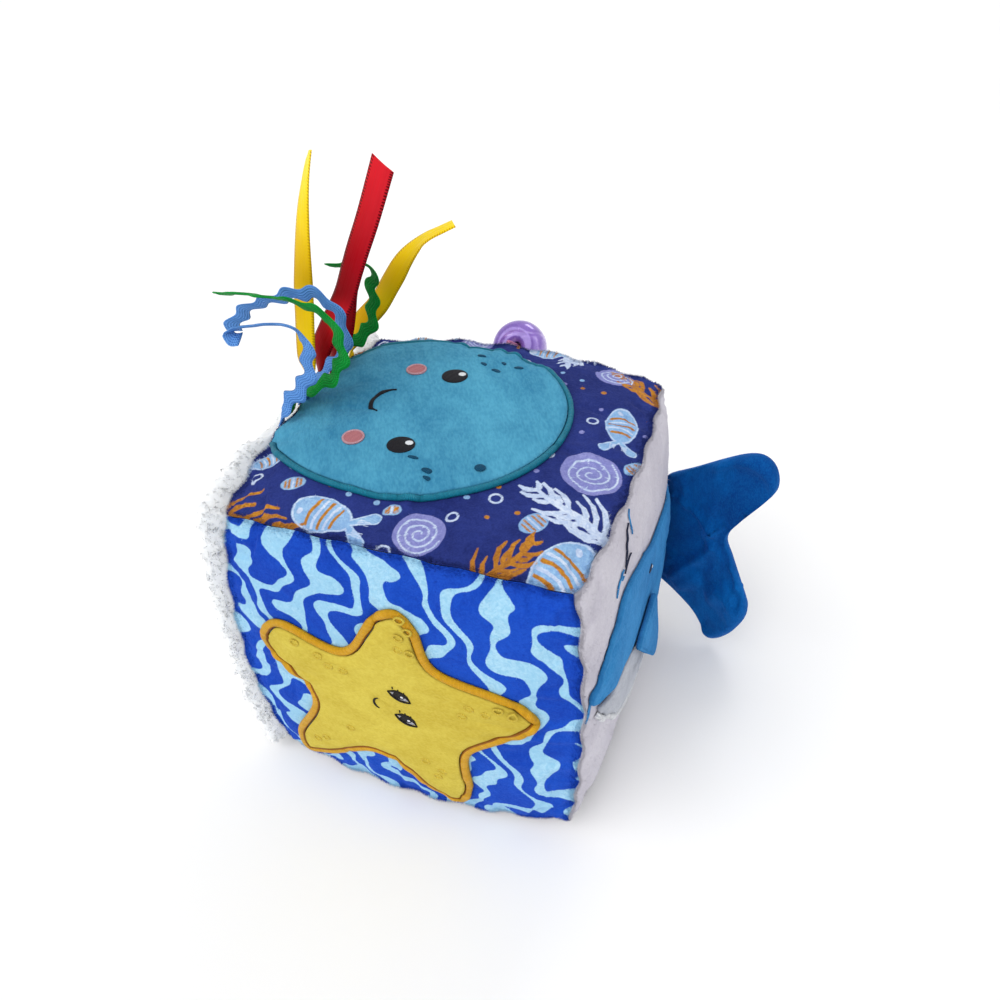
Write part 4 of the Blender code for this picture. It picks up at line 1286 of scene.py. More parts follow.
    def lay_bubbles(self, lay: Callable, places: Array, taken: Array) -> None:
        """Fill the open ground with rings and dots, well clear of the other shapes."""
        chance = np.random.default_rng(11)
        inside = np.max(abs(places), axis=1) < 70
        ground, free = places[inside], taken[inside]
        for x in np.arange(-68, 69, self.spacing):
            for y in np.arange(-68, 69, self.spacing):
                spot = np.array([x, y]) + chance.uniform(-2.2, 2.2, 2)
                kind, size = chance.integers(0, 4), chance.uniform(0.9, 1.2)
                nearest = np.argmin(np.sum((ground - spot) ** 2, axis=1))
                if free[nearest] < 3.4:
                    continue
                away = np.linalg.norm(places - spot, axis=1)
                if kind == 0:
                    lay("white", abs(away - 2.0 * size) - 0.42)
                else:
                    lay(("ochre", "pale", "lilac")[kind - 1], away - size)


@dataclass
class WavePrint:
    """The front panel's print: pale ribbons of ripple that wind up and down a blue ground."""

    pitch: float = 15.5
    broad: float = 0.26
    bends: tuple = ((8.0, 61.0, 118.0, 0.4), (3.6, 25.0, -74.0, 2.1), (1.3, 12.5, 33.0, 4.0))

    def ripple(self, x: Array, z: Array) -> Array:
        """How deep in a pale ribbon each place is: from -1 between ribbons to 1 on their middles."""
        run = x.copy()
        for k, (reach, tall, wide, start) in enumerate(self.bends):
            swing = 0.9 * np.sin(TAU * x / (38 + 9 * k) + TAU * z / 150 + start)
            run += reach * np.sin(TAU * z / tall + TAU * x / wide + swing + start)
        swell = 0.42 * np.sin(TAU * z / 29 - TAU * x / 47 + 1.0)
        swell += 0.20 * np.sin(TAU * z / 13 + TAU * x / 26)
        return np.cos(TAU * run / self.pitch) + swell

    def layers(self, places: Array) -> dict[str, Array]:
        """Lay the print out, as SeaPrint does."""
        x, z = places[:, 0], places[:, 1]
        here, step = self.ripple(x, z), 0.25
        slope = np.hypot(self.ripple(x + step, z) - self.ripple(x - step, z),
                         self.ripple(x, z + step) - self.ripple(x, z - step)) / (2 * step)
        return {"print_band": np.clip((self.broad - here) / np.maximum(slope, 0.12), -9.0, 9.0)}


# Cover, fleece and pile


@dataclass
class Cover(Dressed):
    """The sewn panels of the cube and the stuffing inside them."""

    crowding: float = 1.25
    jitter: float = 0.00005
    core_cells: int = 22

    def outer(self, panel: Panel, u: Array, v: Array) -> Array:
        """Return the outer face of a panel, flat where the block stands."""
        places = self.form.points(panel, u, v) + self.form.centre
        if panel is Panel.BOTTOM:
            places[:, 2] = np.maximum(places[:, 2], 0.0)
        return places

    def sew(
        self, panel: Panel, name: str, node: str, finish: PlushFinish, slot: str, cells: int,
        artwork: SeaPrint | WavePrint | None = None,
    ) -> Object:
        """Make one panel.

        Args:
            panel: which panel.
            name: the piece's name.
            node: the CAD node it stands for.
            finish: its plush.
            slot: the record's material slot.
            cells: how many cells it has each way.
            artwork: its print.

        Returns:
            The panel.
        """
        form = self.form
        solid = sheet_grid(cells)
        flat = coordinates(solid)
        u, v = (np.copysign(1 - np.maximum(0, 1 - abs(s)) ** self.crowding, s) * form.edge_share
                for s in (flat[:, 0], flat[:, 1]))
        top = flat[:, 2] > 1
        places = self.outer(panel, u, v)
        chance = np.random.default_rng(cells)
        places += panel.axes[0] * (chance.normal(0, self.jitter, len(u)) * top)[:, None]
        places[~top] = form.inside(panel, u, v)[~top]
        move_points(solid, places)
        values = None
        if artwork is not None:
            values = artwork.layers(form.in_plane(panel, places))
        piece = finish_piece(name, solid, finish.material(self.effects), "block", slot, [node], values)
        return piece

    def stuff(self) -> None:
        """Make the lumpy filling inside the cover."""
        solid = bmesh.new()
        bmesh.ops.create_cube(solid, size=2.0)
        bmesh.ops.subdivide_edges(solid, edges=solid.edges, cuts=self.core_cells - 1,
                                  use_grid_fill=True)
        cube = coordinates(solid)
        reach = self.form.reach(np.linalg.norm(cube, axis=1)) - self.form.cloth - 0.0012
        lumps = np.sin(cube * 9 + 1.3).prod(axis=1) + 0.6 * np.sin(cube[:, ::-1] * 17).prod(axis=1)
        move_points(solid, cube * (reach + 0.0008 * (lumps - 1))[:, None] + self.form.centre)
        bmesh.ops.smooth_vert(solid, verts=solid.verts, factor=0.3, use_axis_x=True,
                              use_axis_y=True, use_axis_z=True)
        # The filling's white, and painted shade in the hollows between its lumps through the stored
        # height.
        wool = WoolFinish("polyester_filling", (0.86, 0.86, 0.84), (0.6, 0.6, 0.58))
        values = {"height": 0.5 + 0.5 * np.clip(lumps, -1, 1)}
        piece = finish_piece("block_stuffing", solid, wool.material(self.effects), "block",
                             "filling_white", ["filling_core"], values)


@dataclass
class Fleece(Dressed):
    """The curly fleece on the left panel: a lumpy ground covered with small curls."""

    cells: int = 150
    pile: float = 0.0062
    shoulder: float = 0.0026
    lump: float = 0.0020
    lump_size: float = 0.0066
    curls: int = 6000
    curl_length: float = 0.0026
    curl_radius: float = 0.00105
    thread_radius: float = 0.00036
    strands_from: float = -0.75
    strands_to: float = 0.40
    brush_run: float = 0.009
    root_depth: float = 0.0012
    fringe_size: float = 0.62

    def brushed(self, u: Array, v: Array) -> Array:
        """How far the strands brush the pile down along the top seam, from 0 to 1."""
        under = np.clip((self.strands_to - u) * 8, 0, 1) * np.clip((u - self.strands_from) * 8, 0, 1)
        return under * np.exp(-((1 - v) * self.form.seam_to_seam / 2 / self.brush_run) ** 2)

    def heights(self, u: Array, v: Array) -> tuple[Array, Array]:
        """Return how far the ground stands out, and its lumps from 0 to 1."""
        side = (1 - np.maximum(abs(u), abs(v))) * self.form.seam_to_seam / 2
        rise = 1 - np.exp(-np.maximum(side, 0) / self.shoulder)
        rise = rise * (1 - 0.92 * self.brushed(u, v))
        chance = np.random.default_rng(3)
        count = int(self.form.seam_to_seam / self.lump_size)
        i, j = np.meshgrid(np.arange(-2, count + 2), np.arange(-2, count + 2), indexing="ij")
        cell = 2 / count
        heart_u = -1 + cell * (i + 0.5 * (j % 2) + chance.uniform(0.1, 0.9, i.shape))
        heart_v = -1 + cell * (j + chance.uniform(0.1, 0.9, i.shape))
        size = chance.uniform(0.75, 1.2, i.shape)
        lumps = np.zeros_like(u)
        at_u, at_v = (np.clip(((s + 1) / cell).astype(int), -1, count) for s in (u, v))
        for du in (-2, -1, 0, 1, 2):
            for dv in (-2, -1, 0, 1, 2):
                a, b = (np.clip(at_u + du, -2, count + 1) + 2, np.clip(at_v + dv, -2, count + 1) + 2)
                away = np.hypot(u - heart_u[a, b], v - heart_v[a, b]) / (cell * 0.85 * size[a, b])
                lumps = np.maximum(lumps, 1 - away**2)
        lumps = np.clip(lumps, 0, 1)
        return self.pile * rise + self.lump * lumps * rise, lumps * rise

    def make(self) -> None:
        """Make the ground and the curls on it."""
        form, panel = self.form, Panel.LEFT
        solid = sheet_grid(self.cells)
        flat = coordinates(solid)
        u, v = flat[:, 0] * form.edge_share, flat[:, 1] * form.edge_share
        top = flat[:, 2] > 1
        out, lumps = self.heights(u, v)
        places = form.points(panel, u, v, np.where(top, out, 0.0)) + form.centre
        places[~top] = form.inside(panel, u, v)[~top]
        move_points(solid, places)
        # The fleece's white, and the grey of the painted shade in its hollows.
        wool = WoolFinish("sherpa_fleece", (0.85, 0.865, 0.875), (0.76, 0.78, 0.80), rise=0.0002)
        material = wool.material(self.effects)
        # The stored height paints shade into the ground's hollows between its lumps.
        piece = finish_piece("fleece_ground", solid, material, "block", "fleece_white",
                             ["panel_left_fleece"], {"height": 0.25 + 0.75 * lumps})
        self.curl(material, "fleece_curls", 8, False)
        self.curl(material, "fleece_fringe", 9, True)

    def curl(self, material: Material, name: str, seed: int, fringe: bool) -> None:
        """Scatter curls over the ground, or along its seams where they are a fringe."""
        chance = np.random.default_rng(seed)
        u, v = scatter(chance, self.curls, self.curls if fringe else 0, 0.985, 0.996, 0.035)
        out, lumps = self.heights(u, v)
        roots = self.form.points(Panel.LEFT, u, v, out - self.root_depth) + self.form.centre
        along, across = leaning(chance, Panel.LEFT, u, v, 0.85, 0.9)
        size = chance.uniform(0.6, 1.1, self.curls)[:, None] * (self.fringe_size if fringe else 1.0)
        size *= 1 - 0.88 * self.brushed(u, v)[:, None]
        frames = np.stack([across * size, np.cross(along, across) * size, along * size], axis=2)
        turn = np.linspace(0, 1, 6)

        def place(station: Array, corner: Array) -> Array:
            """A thread that rises and bends over into a loop."""
            t = turn[station]
            swing = 4.2 * t**1.3
            radius = self.curl_radius
            middle = np.stack([radius * (1 - np.cos(swing)), 0.35 * radius * np.sin(2 * swing),
                               radius * np.sin(swing) + self.curl_length * 0.42 * t], axis=1)
            around = TAU * corner / 3
            thick = self.thread_radius * (1.15 - 0.75 * t)
            ring = np.stack([np.cos(around) * np.cos(swing), np.sin(around),
                             -np.cos(around) * np.sin(swing)], axis=1)
            return middle + ring * thick[:, None]

        shape = rolled_tube(len(turn) - 1, 3, False, place)[0]
        bmesh.ops.recalc_face_normals(shape, faces=shape.faces)
        mesh, owner = scattered(shape, roots, frames)
        # The stored height paints shade on curls that sit low among the lumps.
        height = np.clip(0.72 + 0.28 * lumps + chance.normal(0, 0.10, self.curls), 0, 1)
        finish_piece(name, mesh, material, "block", "fleece_white", values={"height": height[owner]})


@dataclass
class Pile:
    """Loose hairs of the plush, which soften the panels' outlines and the seams."""

    form: BlockForm
    hair: float = 0.00010
    lift: float = -0.0002

    def grow(
        self, panel: Panel, name: str, slot: str, material: Material, seed: int,
        artwork: SeaPrint | WavePrint | None = None, count: int = 14000, length: float = 0.0017,
        near: float = 0.9,
    ) -> None:
        """Scatter hairs over a panel.

        Args:
            panel: the panel.
            name: the piece's name.
            slot: the record's material slot.
            material: the panel's material.
            seed: starts the scatter.
            artwork: the panel's print, which colours the hairs too.
            count: how many hairs.
            length: the longest hair.
            near: the share of the hairs that grow along the seams.
        """
        chance = np.random.default_rng(seed)
        u, v = scatter(chance, count, int(count * near), 0.99, 0.992, 0.02)
        roots = self.form.points(panel, u, v, self.lift) + self.form.centre
        if panel is Panel.BOTTOM:
            keep = roots[:, 2] > 0.0025
            roots, u, v = roots[keep], u[keep], v[keep]
        along, across = leaning(chance, panel, u, v, 1.2, 0.93)
        tall = chance.uniform(0.45, 1.0, len(u))[:, None] * length
        frames = np.stack([across, np.cross(along, across), along * tall], axis=2)
        shape = bmesh.new()
        bmesh.ops.create_cone(shape, segments=3, radius1=self.hair, radius2=0.0, depth=1.0,
                              cap_ends=True, cap_tris=True)
        bmesh.ops.translate(shape, verts=shape.verts, vec=(0, 0, 0.5))
        mesh, owner = scattered(shape, roots, frames)
        values = None
        if artwork is not None:
            layers = artwork.layers(self.form.in_plane(panel, roots))
            values = {key: column[owner] for key, column in layers.items()}
        finish_piece(name, mesh, material, "block", slot, values=values)


# Appliqués


@dataclass
class Stitcher(Dressed):
    """Lays patches, satin edges and stitched marks on a panel."""

    panel: Panel
    satin_width: float = 0.0034
    satin_height: float = 0.0019
    mark_height: float = 0.0006
    mark_gap: float = 0.00035
    panel_gap: float = 0.0002

    def patch(
        self, name: str, outline: Array, heart: Pair, finish: PlushFinish | Material,
        slot: str, node: str, lift: float | None = None, puff: float = 0.0004, rings: int = 18,
    ) -> Object:
        """Lay a soft patch of cloth on the panel.

        Args:
            name: the piece's name.
            outline: its outline on the panel, in metres.
            heart: a point well inside it.
            finish: its plush.
            slot: the record's material slot.
            node: the CAD node it stands for.
            lift: its height above the panel.
            puff: how far its middle stands up.
            rings: how many rings fill it.

        Returns:
            The patch.
        """
        form = self.form
        shares = np.linspace(0.08, 1.0, rings)
        solid, flat, top, share = pillow(outline, heart, shares)
        chance = np.random.default_rng(len(outline))
        puffed = form.patch_cloth + puff * np.clip((1 - share) * 6, 0, 1) \
            + chance.normal(0, 0.00003, len(flat))
        base = form.layer_gap if lift is None else lift
        move_points(solid, form.on_panel(self.panel, flat[:, 0], flat[:, 1], base + puffed * top))
        material = finish.material(self.effects)
        piece = finish_piece(name, solid, material, "block", slot, [node])
        return piece

    def band(
        self, name: str, line: Array, other: Array, material: Material,
        slot: str, nodes: Sequence[str] = (), lift: float | None = None, height: float | None = None,
        closed: bool = False, square: float = 0.35,
    ) -> Object:
        """Lay a rounded band of stitching between two lines.

        Args:
            name: the piece's name.
            line: the first line, in metres.
            other: the second line, point by point across from the first.
            material: its material.
            slot: the record's material slot.
            nodes: the CAD nodes it stands for.
            lift: its height above the panel.
            height: its own height.
            closed: whether the lines come back to their start.
            square: its height at its sides, as a share of its own height.

        Returns:
            The band.
        """
        form = self.form
        lift = form.layer_gap if lift is None else lift
        height = self.satin_height if height is None else height
        width = float(np.mean(np.linalg.norm(other - line, axis=1)))
        length = float(np.sum(np.linalg.norm(np.diff(line, axis=0), axis=1)))
        if closed:
            length += float(np.linalg.norm(line[0] - line[-1]))
        stations = len(line) if closed else len(line) - 1
        t = np.linspace(0, math.pi, 7)
        across = np.concatenate([[0.0], (1 - np.cos(t)) / 2, [1.0]])
        tall = np.concatenate([[0.0], square + (1 - square) * np.sin(t), [0.0]]) * height

        def place(station: Array, corner: Array) -> Array:
            """The band's section at each station."""
            k = station % len(line)
            flat = line[k] + (other[k] - line[k]) * across[corner][:, None]
            return form.on_panel(self.panel, flat[:, 0], flat[:, 1], lift + tall[corner])

        solid, station, corner = rolled_tube(stations, len(across), closed, place)
        uv = np.stack([station * length / stations, across[corner] * width], axis=1)
        return finish_piece(name, solid, material, "block", slot, nodes, uv=uv,
                            lap=length if closed else 0.0)

    def spot(
        self, name: str, centre: Pair, radii: Pair, material: Material, slot: str,
        nodes: Sequence[str] = (), lean: float = 0.0, above: float = 0.0, height: float | None = None,
        outline: Array | None = None,
    ) -> Object:
        """Lay a small domed mark of stitching.

        Args:
            name: the piece's name.
            centre: its middle, in metres.
            radii: its two radii.
            material: its material.
            slot: the record's material slot.
            nodes: the CAD nodes it stands for.
            lean: how far it is turned.
            above: its height above the appliqué.
            height: its own height.
            outline: its outline where it isn't an oval.

        Returns:
            The mark.
        """
        outline = ellipse(centre, radii, 28, lean) if outline is None else outline
        solid, flat, top, share = pillow(outline, centre, (0.4, 0.75, 0.93, 1.0))
        height = self.mark_height if height is None else height
        dome = height * (0.35 + 0.65 * np.sqrt(np.clip(1 - share**2, 0, 1))) * top
        lift = self.form.face_lift + self.mark_gap + above + dome
        move_points(solid, self.form.on_panel(self.panel, flat[:, 0], flat[:, 1], lift))
        return finish_piece(name, solid, material, "block", slot, nodes)

    def stroke(
        self, name: str, line: Array, width: float, material: Material, slot: str,
        nodes: Sequence[str] = (), above: float = 0.0, height: float | None = None,
        taper: bool = True, on_patch: bool = True,
    ) -> Object:
        """Lay a stitched line along a path.

        Args:
            name: the piece's name.
            line: the path, in metres.
            width: its width.
            material: its material.
            slot: the record's material slot.
            nodes: the CAD nodes it stands for.
            above: its height above what it is sewn on.
            height: its own height.
            taper: whether its ends are drawn thin.
            on_patch: whether it is sewn on an appliqué, not on the panel itself.

        Returns:
            The line.
        """
        line = spline(line, max(8, int(len(line) * 3)), closed=False)
        share = np.linspace(0, 1, len(line))
        half = width / 2 * (np.clip(4 * np.minimum(share, 1 - share), 0.3, 1) if taper else 1.0)
        run = np.gradient(line, axis=0)
        run = unit(run)
        side = np.stack([-run[:, 1], run[:, 0]], axis=1) * np.broadcast_to(half, share.shape)[:, None]
        base = self.form.face_lift + self.mark_gap if on_patch else self.panel_gap
        return self.band(name, line - side, line + side, material, slot, nodes, base + above,
                         self.mark_height if height is None else height)


@dataclass
class Jellyfish(Dressed):
    """The jellyfish on the top panel: a dome whose flat side runs into the left seam."""

    half_width: float = 0.054
    centre: Pair = (-0.26, 0.093)
    reach_right: float = 0.055
    reach_left: float = 0.068
    seam_margin: float = 0.0033
    satin_width: float = 0.0022
    eye: Pair = (0.056, 0.115)
    eyes: tuple[Pair, Pair] = ((-0.246, -0.415), (-0.226, 0.491))
    cheek: Pair = (0.078, 0.096)
    cheeks: tuple[Pair, Pair] = ((-0.594, -0.426), (-0.541, 0.504))
    smile: Pair = (-0.519, 0.044)
    smile_radius: float = 0.0081
    freckles: tuple = ((-6.0, -28.0, 2.1, 0.8), (1.3, -33.1, 1.7, 1.2), (2.6, -36.4, 1.9, 1.1),
                       (18.4, -26.4, 2.0, 1.9), (-8.0, 45.2, 1.7, 0.9), (-5.0, 39.8, 1.6, 1.0),
                       (1.8, 35.7, 1.9, 1.1), (2.4, 42.8, 1.3, 0.9), (10.0, 40.1, 1.9, 0.9))

    def at(self, shares: Pair) -> Pair:
        """Return a place given as shares of the half width, in metres."""
        return shares[0] * self.half_width, shares[1] * self.half_width

    def outline(self, count: int) -> Array:
        """Return the dome's edge from the seam round and back to the seam."""
        centre = self.at(self.centre)
        start = self.seam_margin - self.form.seam_to_seam / 2
        limit = math.acos(max(-1.0, (start - centre[0]) / self.reach_left))
        t = np.linspace(-limit, limit, 60)
        reach = np.where(np.cos(t) > 0, self.reach_right, self.reach_left)
        places = np.stack([centre[0] + reach * np.cos(t), centre[1] + self.half_width * np.sin(t)], 1)
        return spline(places, count, closed=False)

    def make(self) -> None:
        """Make the body, its satin edge and its face."""
        stitcher = Stitcher(self.form, self.effects, Panel.TOP, satin_width=self.satin_width)
        edge = self.outline(520)
        inner = inset(edge, stitcher.satin_width, closed=False)
        inner[[0, -1], 0] = edge[[0, -1], 0]
        teal = ThreadFinish("teal_satin_stitch", (0.008, 0.23, 0.34), (0.003, 0.14, 0.23),
                            (0.05, 0.36, 0.48), inner_from=0.0020)
        stitcher.band("jelly_satin_edge", edge, inner, teal.material(self.effects), "thread_teal",
                      ["jellyfish_satin_edge"])
        body = inset(self.outline(150), stitcher.satin_width + self.form.gap, closed=False)
        body[[0, -1], 0] = edge[[0, -1], 0]
        chord = np.linspace(body[-1], body[0], 26)[1:-1]
        aqua = PlushFinish("aqua_plush", (0.078, 0.335, 0.50), (0.026, 0.175, 0.32), turn=0.5,
                           stretch=(1.0, 2.6, 1.0), grain=1100.0, patch=45.0, rise=0.0009)
        stitcher.patch("jelly_body", np.concatenate([body, chord]), self.at(self.centre), aqua,
                       "plush_aqua", "jellyfish_body", puff=0.0007, rings=34)
        self.face(stitcher)

    def face(self, stitcher: Stitcher) -> None:
        """Stitch the eyes, cheeks, smile and freckles."""
        black = self.thread("black_thread", (0.006, 0.006, 0.009), (0.020, 0.020, 0.026))
        white = self.thread("white_thread", (0.86, 0.88, 0.90), (0.55, 0.60, 0.66))
        salmon = self.thread("salmon_thread", (0.52, 0.20, 0.22), (0.34, 0.12, 0.14))
        blush = self.thread("pale_salmon_thread", (0.60, 0.34, 0.38), (0.42, 0.22, 0.26))
        freckle = self.thread("dark_teal_thread", (0.004, 0.075, 0.15), (0.002, 0.04, 0.09))
        for side, eye, cheek in zip(("front", "back"), self.eyes, self.cheeks):
            radii = self.at(self.eye)
            x, y = self.at(eye)
            stitcher.spot(f"jelly_eye_{side}", (x, y), (radii[1] * 0.84, radii[0] * 1.62), black,
                          "thread_black", [f"jellyfish_eye_{side}"])
            stitcher.spot(f"jelly_eye_shine_{side}", (x + 0.0027, y + 0.0014), (0.0015, 0.0013), white,
                          "thread_white", above=0.0005, height=0.0003)
            radii = self.at(self.cheek)
            place = self.at(cheek)
            stitcher.spot(f"jelly_cheek_{side}", place, (radii[0], radii[1] * 0.82), salmon,
                          "thread_salmon", [f"jellyfish_cheek_{side}"], lean=0.5)
            ring = ellipse(place, (radii[0], radii[1] * 0.82), 60, 0.5)
            stitcher.band(f"jelly_cheek_rim_{side}", ring, inset(ring, 0.0008, True), blush,
                          "thread_salmon", lift=self.form.face_lift + 0.0005, height=0.0006,
                          closed=True)
        smile = arc(self.at(self.smile), self.smile_radius, (104, 250), 14)
        stitcher.stroke("jelly_smile", smile, 0.0017, black, "thread_black", ["jellyfish_smile"])
        for k, (x, y, rx, ry) in enumerate(self.freckles):
            stitcher.spot(f"jelly_freckle_{k}", (x * MM, y * MM), (rx * MM, ry * MM), freckle,
                          "thread_teal", height=0.0004)


@dataclass
class Starfish(Dressed):
    """The starfish on the front panel."""

    span: float = 0.111
    corners: tuple = (
        (-0.50, 0.07), (-0.48, 0.18), (-0.38, 0.25), (-0.17, 0.20), (-0.05, 0.38), (0.04, 0.435),
        (0.11, 0.37), (0.165, 0.215), (0.39, 0.16), (0.495, 0.075), (0.46, 0.0), (0.26, -0.18),
        (0.25, -0.41), (0.20, -0.54), (0.09, -0.485), (-0.10, -0.33), (-0.31, -0.45), (-0.43, -0.49),
        (-0.445, -0.36), (-0.33, -0.10),
    )
    heart: Pair = (0.0, -0.03)
    eyes: tuple[Pair, Pair] = ((0.027, 0.052), (0.040, -0.066))
    mouth: Pair = (-0.046, -0.014)
    rings: tuple = ((-37.3, 20.2), (-28.3, 16.5), (-18.7, 11.9), (-24.5, 12.6), (7.0, 46.0), (9.6, 41.5),
                    (6.0, 37.5), (5.2, 31.6), (9.5, 31.0), (30.0, 9.8), (36.0, 8.6), (40.6, 12.4),
                    (45.8, 10.6), (27.2, 4.6), (10.1, -30.3), (16.6, -34.4), (14.6, -38.6),
                    (-33.9, -35.6), (-38.6, -38.8), (-20.8, -22.7))

    def at(self, shares: Pair) -> Pair:
        """Return a place given as shares of the span, in metres."""
        return shares[0] * self.span, shares[1] * self.span

    def make(self) -> None:
        """Make the body, its satin edge, its stitched rings and its face."""
        stitcher = Stitcher(self.form, self.effects, Panel.FRONT)
        corners = np.array(self.corners) * self.span
        edge = counterclockwise(spline(corners, 620, closed=True))
        inner = inset(edge, stitcher.satin_width, closed=True)
        gold = ThreadFinish("gold_satin_stitch", (0.78, 0.43, 0.008), (0.56, 0.26, 0.004),
                            (0.30, 0.10, 0.003), inner_from=0.0026)
        stitcher.band("star_satin_edge", edge, inner, gold.material(self.effects), "thread_gold",
                      ["starfish_satin_edge"], closed=True)
        body = counterclockwise(spline(corners, 190, closed=True))
        body = inset(body, stitcher.satin_width + self.form.gap, closed=True)
        yellow = PlushFinish("yellow_plush", (0.62, 0.51, 0.080), (0.48, 0.36, 0.042),
                             stretch=(1.9, 1.0, 1.3), patch=60.0, sheen=0.2)
        stitcher.patch("star_body", body, self.at(self.heart), yellow, "plush_yellow",
                       "starfish_body", puff=0.0009, rings=30)
        thread = self.thread("yellow_thread", (0.66, 0.52, 0.07), (0.50, 0.35, 0.035))
        for k, (x, z) in enumerate(self.rings):
            ring = ellipse((x * MM, z * MM), (0.0019, 0.0017), 36)
            stitcher.band(f"star_ring_{k}", ring, inset(ring, 0.00075, True), thread, "thread_gold",
                          lift=self.form.face_lift + 0.0004, height=0.0005, closed=True)
        self.face(stitcher)

    def face(self, stitcher: Stitcher) -> None:
        """Stitch the half-closed eyes with their lashes and the small mouth."""
        black = self.thread("black_star_thread", (0.008, 0.008, 0.010), (0.03, 0.025, 0.02))
        grey = self.thread("grey_thread", (0.50, 0.50, 0.55), (0.30, 0.30, 0.36))
        shine = self.thread("shine_thread", (0.88, 0.88, 0.90), (0.6, 0.6, 0.66))
        for side, eye in zip(("upper", "lower"), self.eyes):
            x, z = self.at(eye)
            lean = math.radians(-24)
            c, s = math.cos(lean), math.sin(lean)

            def spot(across: float, up: float, x: float = x, z: float = z) -> Pair:
                """A place in the eye, turned with it."""
                return x + c * across - s * up, z + s * across + c * up

            t = np.linspace(-1, 1, 12)
            lower = [spot(0.0043 * k, -0.0018 * (1 - k * k)) for k in t]
            upper = [spot(0.0043 * k, 0.0019 * (1 - k * k)) for k in t[::-1]]
            almond = np.array(lower[:-1] + upper[:-1])
            stitcher.spot(f"star_eye_white_{side}", (x, z), (0.004, 0.002), grey, "thread_white",
                          [f"starfish_eye_{side}"], outline=almond, height=0.0004)
            stitcher.spot(f"star_eye_dark_{side}", spot(-0.0003, 0.0003), (0.0024, 0.0017), black,
                          "thread_black", above=0.0003, height=0.0003)
            stitcher.spot(f"star_eye_shine_{side}", spot(0.0009, 0.0008), (0.0006, 0.0005), shine,
                          "thread_white", above=0.0006, height=0.0002)
            lid = np.array([spot(0.0048 * k, -0.0020 * (1 - k * k) - 0.0001) for k in t])
            stitcher.stroke(f"star_lid_{side}", lid, 0.0008, black, "thread_black", above=0.0002)
            brow = np.array([spot(0.0044 * k, 0.0022 * (1 - k * k)) for k in t])
            stitcher.stroke(f"star_brow_{side}", brow, 0.0013, black, "thread_black", above=0.0001)
            for k, root in enumerate((-0.0035, -0.0012, 0.0012)):
                lash = np.array([spot(root, 0.0022), spot(root - 0.0006, 0.0034)])
                stitcher.stroke(f"star_lash_{side}_{k}", lash, 0.0005, black, "thread_black")
        mouth = arc(self.at(self.mouth), 0.0030, (110, 250), 10)
        stitcher.stroke("star_mouth", mouth, 0.0009, black, "thread_black", ["starfish_mouth"])


